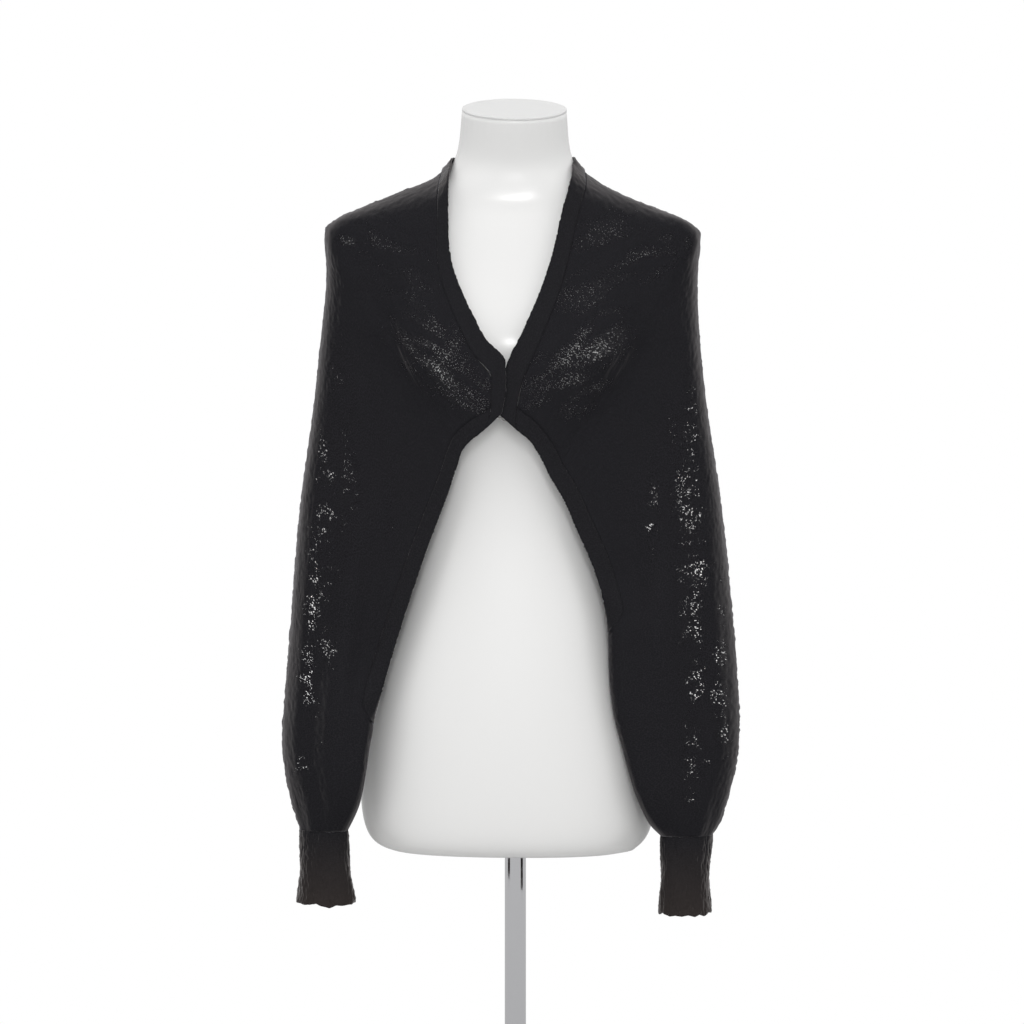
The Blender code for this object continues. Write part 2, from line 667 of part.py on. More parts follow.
def drape(grid, skin, held):
    """Lays the cloth over the form: what must stand off lifts its surroundings with it.

    A point with `held` at 1 is on a seam fold, whose own lift is the same in both panels."""
    lift = np.zeros_like(grid)
    lift[:, 0] = line_stand_off(grid[:, 0], skin)
    lift[:, 0] *= held[:, 0, None]
    fixed = held > 0
    for turn in range(DRAPE_ROUNDS + SETTLE_ROUNDS):
        now = grid + lift
        moves = stand_off(now.reshape(-1, 3), skin).reshape(grid.shape)
        rising = (now[1:, 1:] + now[:-1, :-1]) / 2
        falling = (now[1:, :-1] + now[:-1, 1:]) / 2
        between = further(
            stand_off(rising.reshape(-1, 3), skin, MIDWAY_CLEAR).reshape(rising.shape),
            stand_off(falling.reshape(-1, 3), skin, MIDWAY_CLEAR).reshape(falling.shape),
        )
        for rows in (slice(1, None), slice(None, -1)):
            for columns in (slice(1, None), slice(None, -1)):
                moves[rows, columns] = further(moves[rows, columns], between)
        moves[fixed] = 0
        lift += moves
        if turn >= DRAPE_ROUNDS:
            continue
        calm = lift.copy()
        calm[1:-1, 1:-1] = (
            lift[1:-1, 1:-1] * 2 + lift[:-2, 1:-1] + lift[2:, 1:-1] + lift[1:-1, :-2] + lift[1:-1, 2:]
        ) / 6
        calm[fixed] = lift[fixed]
        lift = calm
    grid += lift


def trimmed(points, axis, end, gap):
    """The grid with one edge row drawn back along the cloth, by `gap`."""
    rows = np.moveaxis(points, axis, 0).copy()
    inner = 1 if end == 0 else -2
    rows[end] += unit(rows[inner] - rows[end]) * gap
    return np.moveaxis(rows, 0, axis)


def wall_object(name, grid, normals, thickness, finish):
    """A wall round a grid of points, whichever way the grid is wound."""
    face = np.cross(np.gradient(grid, axis=0), np.gradient(grid, axis=1))
    if (face * normals).sum() < 0:
        grid, normals = grid[:, ::-1], normals[:, ::-1]
    points, faces = wall_solid(grid, normals, thickness)
    return mesh_object(name, points, faces, finish)


def front_panel(side, panel, knit):
    grid = panel.grid[FRONT_BAND_ROWS:, : panel.columns + 1]
    grid = trimmed(grid, 0, 0, SEAM_GAP / 2)
    band = panel.underarm_row - FRONT_BAND_ROWS
    grid[:band] = trimmed(grid[:band], 1, -1, SEAM_GAP / 2)
    normals = panel.normals[FRONT_BAND_ROWS:, : panel.columns + 1]
    wall_object(f"front_{side}", grid, normals, KNIT_WALL, knit)


def back_panel(panels, knit):
    halves = []
    for panel in panels:
        grid = panel.grid[:, : panel.columns + 1].copy()
        neck, hem = NECK_ROWS + 1, panel.underarm_row
        grid[:neck] = trimmed(grid[:neck], 1, 0, SEAM_GAP / 2)
        grid[:hem] = trimmed(grid[:hem], 1, -1, SEAM_GAP / 2)
        halves.append((grid, panel.normals[:, : panel.columns + 1]))
    (right, right_normals), (left, left_normals) = halves
    grid = np.concatenate([right[::-1], left[1:]])
    normals = np.concatenate([right_normals[::-1], left_normals[1:]])
    wall_object("back", grid, unit(normals), KNIT_WALL, knit)


def hem_band(side, front, back, knit):
    """The band along the free edge, from the fastening to the middle of the back."""
    strips = []
    for panel, first in ((front, FRONT_BAND_ROWS), (back, 0)):
        stop = panel.underarm_row
        grid = panel.grid[first:stop, panel.columns :]
        grid = trimmed(grid, 1, 0, SEAM_GAP / 2)
        grid = trimmed(grid, 0, 0, SEAM_GAP / 2)
        strips.append((grid, panel.normals[first:stop, panel.columns :]))
    for name, (grid, normals) in zip(("front", "back"), strips):
        wall_object(f"hemband_{name}_{side}", grid, normals, BAND_WALL, knit)


def neck_band(side, front, back, skin, knit):
    """The band from the middle of the back neck, down the neckline to the fastening.

    It is made before the panels, because its seam edge and theirs are cut at one angle."""
    rows = np.array(NECK_BAND_TOP[side], float)
    along = back.along[: NECK_ROWS + 1]
    top = smooth_through(rows[:, 0], rows[:, 1:], along)
    seam = back.grid[: NECK_ROWS + 1, 0].copy()
    seam[-1, 1] -= SEAM_GAP / 2
    t = np.linspace(0, 1, 3)[None, :, None]
    behind = top[:, None] * (1 - t) + seam[:, None] * t
    ahead = np.swapaxes(front.grid[: FRONT_BAND_ROWS + 1], 0, 1)[1:]
    strip = np.concatenate([behind, ahead])
    held = np.zeros(strip.shape[:2])
    held[:, -1] = 1
    held[len(behind) :] = 1
    drape(strip, skin, held)
    strip = trimmed(strip, 1, -1, SEAM_GAP / 2)
    strip = trimmed(strip, 0, 0, SEAM_GAP / 2)
    normals = unit(np.cross(np.gradient(strip, axis=0), np.gradient(strip, axis=1)))
    away = strip - np.array([0.0, 20.0, 1400.0])
    if (normals * away).sum() < 0:
        normals = -normals
    behind_rows = back.normals[: NECK_ROWS + 1, 0]
    ahead_columns = front.normals[FRONT_BAND_ROWS, 1:]
    shared = unit(normals[:, -1] + np.concatenate([behind_rows, ahead_columns]))
    normals[:, -1] = shared
    back.normals[:NECK_ROWS, 0] = shared[:NECK_ROWS]
    front.normals[FRONT_BAND_ROWS, 1:] = shared[NECK_ROWS + 1 :]
    wall_object(f"neckband_{side}", strip, normals, BAND_WALL, knit)


def cuff(side, end_z, knit):
    """A ribbed tube, from the sleeve's gathers to its free edge."""
    count = CUFF_RIBS * 3
    angles = np.arange(count) * 2 * np.pi / count
    ribs = np.where(np.arange(count) % 3 == 0, 0.0, CUFF_RIB_HEIGHT)
    levels = np.array(CUFF_LEVELS[side], float)
    drops = np.linspace(0, levels[-1, 0], CUFF_ROWS + 1)
    rows = smooth_through(levels[:, 0], levels[:, 1:], drops)
    outer, inner = [], []
    for drop, (outer_x, outer_y, inner_x, inner_y, half_depth) in zip(drops, rows):
        middle = np.array([(outer_x + inner_x) / 2, (outer_y + inner_y) / 2])
        arm = np.array([outer_x, outer_y]) - middle
        ring = middle + np.outer(np.cos(angles), arm)
        ring[:, 1] += half_depth * np.sin(angles)
        run = np.roll(ring, -1, axis=0) - np.roll(ring, 1, axis=0)
        normal = unit(np.stack([run[:, 1], -run[:, 0]], axis=1))
        if (normal * (ring - middle)).sum() < 0:
            normal = -normal
        z = np.full(count, end_z - SEAM_GAP - drop)
        outer.append(np.column_stack([ring + normal * (CUFF_WALL / 2 + ribs)[:, None], z]))
        inner.append(np.column_stack([ring - normal * CUFF_WALL / 2, z]))
    points = np.concatenate([np.array(outer), np.array(inner)]).reshape(-1, 3)
    faces = []
    inside = (CUFF_ROWS + 1) * count
    for i in range(CUFF_ROWS):
        for j in range(count):
            k = (j + 1) % count
            quad = (i * count + j, (i + 1) * count + j, (i + 1) * count + k, i * count + k)
            faces.append(quad)
            faces.append(tuple(inside + v for v in reversed(quad)))
    last = inside - count
    for j in range(count):
        k = (j + 1) % count
        faces.append((j, k, inside + k, inside + j))
        faces.append((last + k, last + j, inside + last + j, inside + last + k))
    ring = np.array(outer[0])
    turning = np.cross(ring[1] - ring[0], [0.0, 0.0, -1.0]) @ (ring[0] - ring.mean(axis=0))
    if turning > 0:
        faces = [tuple(reversed(f)) for f in faces]
    mesh_object(f"cuff_{side}", points, faces, knit)


def wire(name, route, finish):
    """A piece of bent wire, through points in millimetres."""
    curve = bpy.data.curves.new(name, "CURVE")
    curve.dimensions = "3D"
    curve.bevel_depth = WIRE_RADIUS * MM
    curve.bevel_resolution = 2
    curve.use_fill_caps = True
    spline = curve.splines.new("POLY")
    spline.points.add(len(route) - 1)
    for point, place in zip(spline.points, route):
        point.co = (*[v * MM for v in place], 1.0)
    curve.materials.append(finish)
    made = bpy.data.objects.new(name, curve)
    bpy.context.scene.collection.objects.link(made)


def fastening(finish):
    """A wire hook inside the wearer's right front, caught in the left front's wire eye."""
    x, y, z = FASTENING
    loop_x = x + EYE_LOOP
    ends = x + EYE_REACH
    eye = [(ends, y - EYE_RISE, z + EYE_HALF), (loop_x, y, z + EYE_HALF)]
    for i in range(1, WIRE_STEPS):
        turn = math.pi / 2 + math.pi * i / WIRE_STEPS
        eye.append((loop_x + EYE_LOOP * math.cos(turn), y, z + EYE_HALF * math.sin(turn)))
    eye += [(loop_x, y, z - EYE_HALF), (ends, y - EYE_RISE, z - EYE_HALF)]
    wire("eye", eye, finish)
    reach = HOOK_OPENING / 2
    hook = [(x - HOOK_SHANK, y - reach, z)]
    for i in range(WIRE_STEPS + 1):
        turn = -math.pi / 2 + math.pi * i / WIRE_STEPS
        hook.append((x + HOOK_BEND + reach * math.cos(turn), y + reach * math.sin(turn), z))
    hook.append((x - HOOK_TIP, y + reach, z))
    wire("hook", hook, finish)


def main():
    for old in list(bpy.data.objects):
        bpy.data.objects.remove(old)
    white = material("form_white_gloss", (0.82, 0.83, 0.84), 0.3)
    cap_grey = material("neck_cap_grey", (0.72, 0.73, 0.74), 0.45)
    chrome = material("stand_chrome", (0.75, 0.75, 0.77), 0.12, 1.0)
    knit = material("black_boucle_knit", (0.012, 0.012, 0.016), 0.95)
    rib = material("black_rib_knit", (0.016, 0.016, 0.019), 0.95)
    metal = material("hook_metal", (0.55, 0.55, 0.56), 0.3, 1.0)

    skin = build_form(white, cap_grey)
    build_stand(chrome)
    backs = []
    for side in ("right", "left"):
        front, back = Panel(side, True), Panel(side, False)
        front.draped(skin)
        back.draped(skin)
        neck_band(side, front, back, skin, rib)
        front_panel(side, front, knit)
        hem_band(side, front, back, rib)
        cuff(side, FRONT_COURSES[side][-1][3], rib)
        backs.append(back)
    back_panel(backs, knit)
    fastening(metal)


main()
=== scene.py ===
import math

import bmesh
import bpy
import numpy as np
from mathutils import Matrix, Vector
from mathutils.bvhtree import BVHTree


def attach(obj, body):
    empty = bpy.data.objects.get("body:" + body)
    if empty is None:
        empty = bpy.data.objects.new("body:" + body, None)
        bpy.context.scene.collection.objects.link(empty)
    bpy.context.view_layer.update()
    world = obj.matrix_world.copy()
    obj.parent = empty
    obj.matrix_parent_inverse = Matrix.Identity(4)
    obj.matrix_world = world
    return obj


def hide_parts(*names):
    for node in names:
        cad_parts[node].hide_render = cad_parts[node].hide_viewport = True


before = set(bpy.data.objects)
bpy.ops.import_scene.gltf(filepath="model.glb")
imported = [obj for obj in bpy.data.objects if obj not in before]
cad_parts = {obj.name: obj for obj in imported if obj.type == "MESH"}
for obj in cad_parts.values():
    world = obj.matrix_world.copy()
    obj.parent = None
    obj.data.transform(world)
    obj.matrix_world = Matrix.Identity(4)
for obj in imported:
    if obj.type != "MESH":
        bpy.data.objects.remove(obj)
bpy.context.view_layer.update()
mm = 0.001
print("frame loaded")

# Lengths in the tables are millimetres; X is across, the front faces -Y, Z is up.
photo = {
    "eye": (-3.5, -3000.0, 1141.6),  # where the camera stands, level, looking along +Y
    "widthAtPole": 1065.0,  # what the photograph spans there
    "pixels": 1024,
    "sensorWidth": 36.0,
}

garment = {
    "knitThickness": 1.3,
    "bandThickness": 1.7,
    "bandWidth": 20.0,
    "clothClear": 1.3,  # from the form to the middle of the knit
    "midwayClear": 1.7,
    "fineClear": 1.15,
    "contactSoftness": 0.7,  # how gently the cloth leaves the form
    "underarm": {"right": 650.0, "left": 580.0},  # where the opening ends
    "bandTaper": 34.0,
    "bandTip": 0.15,
    "bandStop": 5.0,
    "closing": (50.0, 120.0),  # over which the back and the front close to a sleeve
    "openSwell": 2.2,
    "openFall": 1.6,
    "usualWidth": 160.0,
    "necklineReach": 170.0,
    "calmShare": 0.08,
    "shoulderEnd": 215.0,
    "turnWeight": 0.55,
    "neckRows": 5,
    "upperRows": 14,
    "sleeveRows": 16,
    "wristRows": 5,
    "columns": 13,
    "bandColumns": 2,
    "frontBandRows": 2,
    "gatherShares": [0.14, 0.30, 0.47, 0.63, 0.80],
    "gatherLength": 70.0,
    "gatherDepth": 2.6,
    "gatherHalfWidth": 5.0,
    "gatherOverrun": 8.0,  # past the cuff seam
    "foldRise": 0.6,  # how soon a fold reaches its depth
    "foldEnds": 0.02,
    "drapeRounds": 8,
    "settleRounds": 5,
    "fineRow": 2.2,  # the finished cloth's mesh, along the courses
    "fineColumns": 6,  # and how often each column is divided
    "backFineRow": 2.9,
    "bandFineColumns": 4,
    "nubHeight": 0.16,  # the bumps of the bouclé yarn
    "nubWidth": 2.2,
    "nubShared": (0.35, 0.25),  # with the neighbours along and across
    "foldNub": 1.2,  # how far they stand out along the overarm fold
    "foldNubLengths": (4.5, 2.3),
    "foldNubReach": 3.0,
    "edgeNub": 0.28,  # and how far they stand out along a free edge
    "softRounds": 28,  # how far the finished cloth's creases are eased
    "armInside": (170.0, -30.0),  # a sleeve's middle, for cloth that is further out and lower
    "armFrom": (130.0, 1250.0),  # than this
    "joined": 1e-6,  # metres, where a cuff closes
    "facesTried": 37,  # one face in so many shows which way a sheet is wound
}

# One row for each named course: distance from the neck along the overarm line, the point on that
# line, the point on the free edge or underarm fold, and the swell to the front between them.
# Columns: along, over_x, over_y, over_z, edge_x, edge_y, edge_z, swell.
frontCourses = {
    "right": [
        (0, -66, 4, 1508, -14, -119.5, 1240, 0), (20, -76, 4, 1494.5, -29, -116.5, 1225.5, 3),
        (65, -117, 2, 1475.5, -45, -112.5, 1213, 10), (115, -163, 0, 1456.5, -55, -110, 1200, 18),
        (150, -188.5, -2, 1443.5, -58, -108.5, 1190, 24),
        (163, -198, -3, 1434.5, -60, -108, 1184, 25), (178, -197, -4, 1418, -62, -107, 1178, 26),
        (210, -195.5, -6, 1387, -67, -105, 1163, 27), (270, -201, -8, 1325, -76.5, -101, 1138, 29),
        (350, -209, -12, 1247, -91.5, -96, 1098, 31), (440, -221.5, -16, 1154, -110, -91, 1043, 32),
        (530, -229, -20, 1065, -125.5, -88, 993, 32), (600, -234, -23, 995, -137, -87, 954, 32),
        (650, -238, -26, 945, -144, -87, 928, 32), (690, -240, -28, 905, -149, -85, 896, 31),
        (735, -234.5, -31, 862, -154.5, -80, 862, 28), (768, -226.5, -34, 832, -162, -66, 836, 24),
        (786, -221, -35, 816, -172, -50, 816, 22),
    ],
    "left": [
        (0, 59, 4, 1508, -17.5, -116.5, 1240, 0), (20, 72, 4, 1495, 0, -116.5, 1224.5, 3),
        (65, 113, 2, 1470, 13, -113.5, 1214, 10), (115, 157, 0, 1448.5, 23, -111.5, 1200, 18),
        (148, 182, -2, 1436, 28, -110.5, 1191, 24), (161, 191.5, -3, 1429.5, 30, -110, 1187, 25),
        (176, 190.5, -4, 1414.5, 32, -109, 1182, 26),
        (208, 188.5, -6, 1382, 38.5, -107.5, 1171, 27), (270, 191, -8, 1320, 49.5, -104, 1152, 29),
        (350, 199, -12, 1243, 61.5, -100, 1124, 31), (440, 212, -16, 1156, 77.5, -95.5, 1088, 33),
        (520, 220, -19, 1078, 89, -92, 1050, 34), (580, 225.5, -22, 1019, 93.5, -91, 1020, 34),
        (640, 229.5, -25, 960, 94.5, -90, 985, 33), (690, 230.5, -28, 915, 98.5, -87.5, 942, 32),
        (735, 226.5, -31, 877, 109, -84, 900, 29), (770, 217, -34, 844, 124, -78, 850, 26),
        (790, 211, -35, 825, 137, -66, 824, 23), (804, 202, -36, 811, 149, -52, 811, 22),
    ],
}
# Columns: along, x, y, z.
backNeck = {
    "right": [(-62, -2, 72, 1499), (-30, -34, 66, 1500), (0, -66, 36, 1499), (20, -76, 4, 1494.5)],
    "left": [(-62, -2, 72, 1499), (-30, 31, 66, 1500), (0, 62, 36, 1499), (20, 72, 4, 1495)],
}
# Columns: along, edge_x, edge_y, edge_z, swell.
backHem = {
    "right": [
        (-62, -2, 100, 1110, 0), (-30, -34, 99, 1109, 4), (0, -56, 95, 1107, 8),
        (20, -68, 92, 1105, 12), (65, -88, 85, 1101, 20), (115, -106, 76, 1095, 28),
        (150, -117, 69, 1090, 32), (178, -125, 62, 1086, 34), (210, -133, 54, 1081, 36),
        (270, -146, 36, 1071, 38), (350, -157, 12, 1056, 39), (440, -161, -16, 1034, 38),
        (530, -158, -46, 1001, 36), (600, -151, -71, 962, 33), (650, -144, -87, 928, 32),
    ],
    "left": [
        (-62, -2, 100, 1110, 0), (-30, 32, 99, 1111, 4), (0, 53, 95, 1113, 8),
        (20, 66, 92, 1114, 12), (65, 86, 85, 1118, 20), (115, 105, 76, 1121, 28),
        (148, 117, 67, 1124, 32), (176, 126, 58, 1126, 34), (208, 135, 45, 1128, 36),
        (270, 146, 16, 1130, 38), (350, 142, -20, 1125, 38), (440, 127, -53, 1106, 37),
        (520, 108, -76, 1067, 36), (580, 93.5, -91, 1020, 34),
    ],
}
# The free edge of the neck band in front, from the shoulder line to the fastening.
neckline = {
    "right": [
        (-66, 4, 1508), (-68.5, -34, 1488), (-69, -51, 1470), (-68.5, -62, 1445), (-68, -72, 1419),
        (-65, -80, 1396), (-57, -91, 1372), (-42, -105, 1338), (-27, -113, 1311),
        (-7.5, -119, 1285), (-9.5, -119.5, 1262), (-14, -119.5, 1240),
    ],
    "left": [
        (59, 4, 1508), (58, -34, 1488), (53.5, -51, 1470), (46.5, -63, 1444), (41, -72, 1418),
        (35, -81, 1395), (26, -92, 1368), (13, -104, 1336), (2, -112, 1312), (-10.5, -116.5, 1285),
        (-15.5, -116.5, 1262), (-17.5, -116.5, 1240),
    ],
}
neckBandTop = {
    "right": [(-62, -2, 69, 1517), (-30, -31, 63, 1517), (0, -56, 38, 1514), (20, -66, 4, 1508)],
    "left": [(-62, -2, 69, 1517), (-30, 28, 63, 1517), (0, 52, 38, 1514), (20, 59, 4, 1508)],
}
# Folds. Columns: from_along, from_share, to_along, to_share, half_width, depth.
pullFolds = [
    (165, 0.16, 40, 0.86, 12, 3.4), (230, 0.14, 44, 0.92, 14, 4.2), (320, 0.2, 60, 0.97, 15, 3.8),
    (190, 0.26, 60, 0.8, 10, -3.0), (270, 0.3, 75, 0.93, 12, -3.6), (120, 0.12, 34, 0.7, 11, 2.6),
]
hangFolds = [
    (250, 0.3, 760, 0.36, 12, -6.5), (330, 0.52, 765, 0.62, 13, 6.0),
    (300, 0.7, 735, 0.8, 10, -5.0), (420, 0.16, 770, 0.2, 9, 4.0), (190, 0.45, 450, 0.6, 14, -4.5),
]
backFolds = [
    (30, 0.3, 8, 1.02, 14, 5.0), (75, 0.25, 45, 1.02, 15, -6.5), (120, 0.22, 92, 1.02, 15, 8.0),
    (165, 0.2, 155, 1.0, 13, -7.0), (210, 0.2, 240, 1.0, 14, 7.5), (255, 0.3, 300, 0.92, 13, -5.0),
    (300, 0.24, 720, 0.34, 12, 6.5), (380, 0.44, 760, 0.56, 12, -6.0),
    (450, 0.66, 740, 0.76, 11, 5.0),
]

# Where the stretched knit lets the light through, in the photograph's pixels: across the bust and
# the upper chest, and down the outer part of the sleeves.
# Columns: x, y, half length, half width, turned anticlockwise from level by, strength, and the
# length of the streaks that break it up (0 for none).
bustPatches = {
    "left": [
        (600, 232, 42, 20, 20, 0.55, 22), (640, 264, 50, 26, 20, 0.55, 24),
        (590, 290, 45, 24, 25, 0.55, 22), (592, 345, 46, 30, 25, 0.75, 24),
        (560, 368, 40, 24, 22, 0.7, 24), (585, 402, 36, 14, 28, 0.55, 20),
        (600, 351, 19, 9, 28, 1.0, 0), (612, 311, 19, 4, 8, 0.65, 0),
        (574, 379, 22, 9, 18, 0.75, 0), (577, 397, 25, 4, 33, 0.65, 0),
        (599, 386, 18, 5, 22, 0.6, 0), (540, 402, 17, 6, 15, 0.5, 0), (572, 298, 14, 9, 20, 0.5, 0),
        (602, 241, 14, 6, 8, 0.55, 0), (667, 237, 12, 5, 12, 0.55, 0),
        (689, 243, 6, 10, 0, 0.65, 0),
    ],
    "right": [
        (428, 342, 46, 32, -33, 0.7, 24), (455, 385, 44, 22, -38, 0.65, 24),
        (408, 290, 38, 24, -35, 0.5, 22), (395, 252, 52, 24, -26, 0.5, 22),
        (438, 371, 28, 6, -38, 1.0, 0), (423, 360, 15, 6, -25, 0.8, 0),
        (408, 346, 14, 5, -35, 0.8, 0), (430, 346, 18, 4, -12, 0.65, 0),
        (454, 344, 11, 7, 0, 0.7, 0), (434, 322, 19, 5, -45, 0.6, 0),
        (463, 399, 18, 9, -40, 0.65, 0), (486, 384, 14, 5, -30, 0.5, 0),
        (459, 366, 15, 5, -10, 0.5, 0), (411, 369, 15, 5, -35, 0.55, 0),
        (411, 293, 14, 6, -10, 0.5, 0), (346, 240, 12, 6, -15, 0.8, 0),
        (378, 246, 18, 4, -18, 0.5, 0),
    ],
}
sleevePatches = {
    "left": [
        (692, 425, 10, 46, 0, 0.9, 11), (672, 432, 6, 22, 0, 0.5, 8), (707, 456, 6, 13, 0, 0.75, 8),
        (689, 500, 18, 40, 0, 0.9, 13), (692, 562, 19, 42, 0, 1.0, 14),
        (654, 512, 7, 44, 0, 0.75, 9), (691, 620, 14, 42, 0, 0.95, 11),
        (695, 688, 11, 42, 0, 1.0, 11), (692, 750, 9, 40, 0, 0.85, 10),
        (690, 806, 7, 18, 0, 0.9, 9), (722, 600, 6, 32, 0, 0.75, 9), (720, 656, 8, 20, 0, 1.0, 11),
        (719, 699, 9, 20, 0, 1.0, 12), (724, 736, 7, 22, 0, 1.0, 9), (720, 796, 6, 14, 0, 0.8, 8),
        (708, 768, 6, 16, 0, 0.75, 8),
    ],
    "right": [
        (340, 375, 9, 50, 0, 0.65, 9), (347, 425, 9, 28, 0, 0.6, 9), (324, 446, 8, 30, 0, 0.9, 10),
        (324, 474, 11, 12, 0, 1.0, 12), (349, 484, 10, 34, 0, 0.85, 10),
        (325, 518, 12, 24, 0, 0.95, 12), (346, 536, 9, 20, 0, 0.75, 9),
        (313, 546, 9, 26, 0, 0.8, 10), (338, 560, 10, 20, 0, 0.65, 9),
        (311, 598, 10, 38, 0, 1.05, 11), (327, 592, 9, 28, 0, 0.65, 9),
        (328, 655, 10, 34, 0, 1.0, 11), (305, 670, 10, 34, 0, 0.95, 11),
        (309, 700, 12, 14, 0, 0.95, 12), (316, 740, 12, 26, 0, 0.7, 10),
        (303, 768, 9, 14, 0, 1.0, 10), (301, 795, 8, 12, 0, 0.75, 8), (345, 614, 7, 16, 0, 0.5, 8),
        (391, 526, 5, 28, 0, 0.55, 8),
    ],
}
sheerLook = {
    "streakWidth": 6.5,  # pixels
    "streaksFrom": 0.24,
    "streaksTo": 0.60,
    "falloff": 0.8,
    "front": (0.85, 1.05),  # how open the fronts are, at the bust and on the sleeves
    "back": (0.7, 2.2),  # and how open the back is behind each patch
}


# ---- curves and grids
def smoothThrough(keys, rows, at, firm=False):
    # values at the places `at` on a smooth curve through the rows, which stand at `keys`;
    # a firm curve never swings past its rows
    keys = np.asarray(keys, float)
    rows = np.asarray(rows, float)
    at = np.clip(np.asarray(at, float), keys[0], keys[-1])
    steps = np.diff(keys)[:, None]
    rises = np.diff(rows, axis=0) / steps
    slopes = np.empty_like(rows)
    slopes[0], slopes[-1] = rises[0], rises[-1]
    before, after = steps[:-1], steps[1:]
    slopes[1:-1] = (rises[:-1] * after + rises[1:] * before) / (before + after)
    if firm:
        least = 3 * np.minimum(np.abs(rises[:-1]), np.abs(rises[1:]))
        least[rises[:-1] * rises[1:] < 0] = 0
        slopes[1:-1] = np.clip(slopes[1:-1], -least, least)
    i = np.clip(np.searchsorted(keys, at, side="right") - 1, 0, len(keys) - 2)
    h = steps[i]
    t = ((at - keys[i])[:, None]) / h
    return (
        (2 * t**3 - 3 * t**2 + 1) * rows[i]
        + (t**3 - 2 * t**2 + t) * h * slopes[i]
        + (3 * t**2 - 2 * t**3) * rows[i + 1]
        + (t**3 - t**2) * h * slopes[i + 1]
    )


def smoothStep(x):
    x = np.clip(x, 0.0, 1.0)
    return x * x * (3 - 2 * x)


def unit(vectors):
    return vectors / np.maximum(np.linalg.norm(vectors, axis=-1, keepdims=True), 1e-9)


def runLengths(line):
    # how far along a line of points each of them lies
    return np.concatenate([[0], np.cumsum(np.linalg.norm(np.diff(line, axis=0), axis=1))])


def formSkin():
    # the form's surface in millimetres, for the cloth to lie on
    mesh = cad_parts["form_torso"].data
    points = [Vector(v.co) / mm for v in mesh.vertices]
    return BVHTree.FromPolygons(points, [tuple(p.vertices) for p in mesh.polygons])


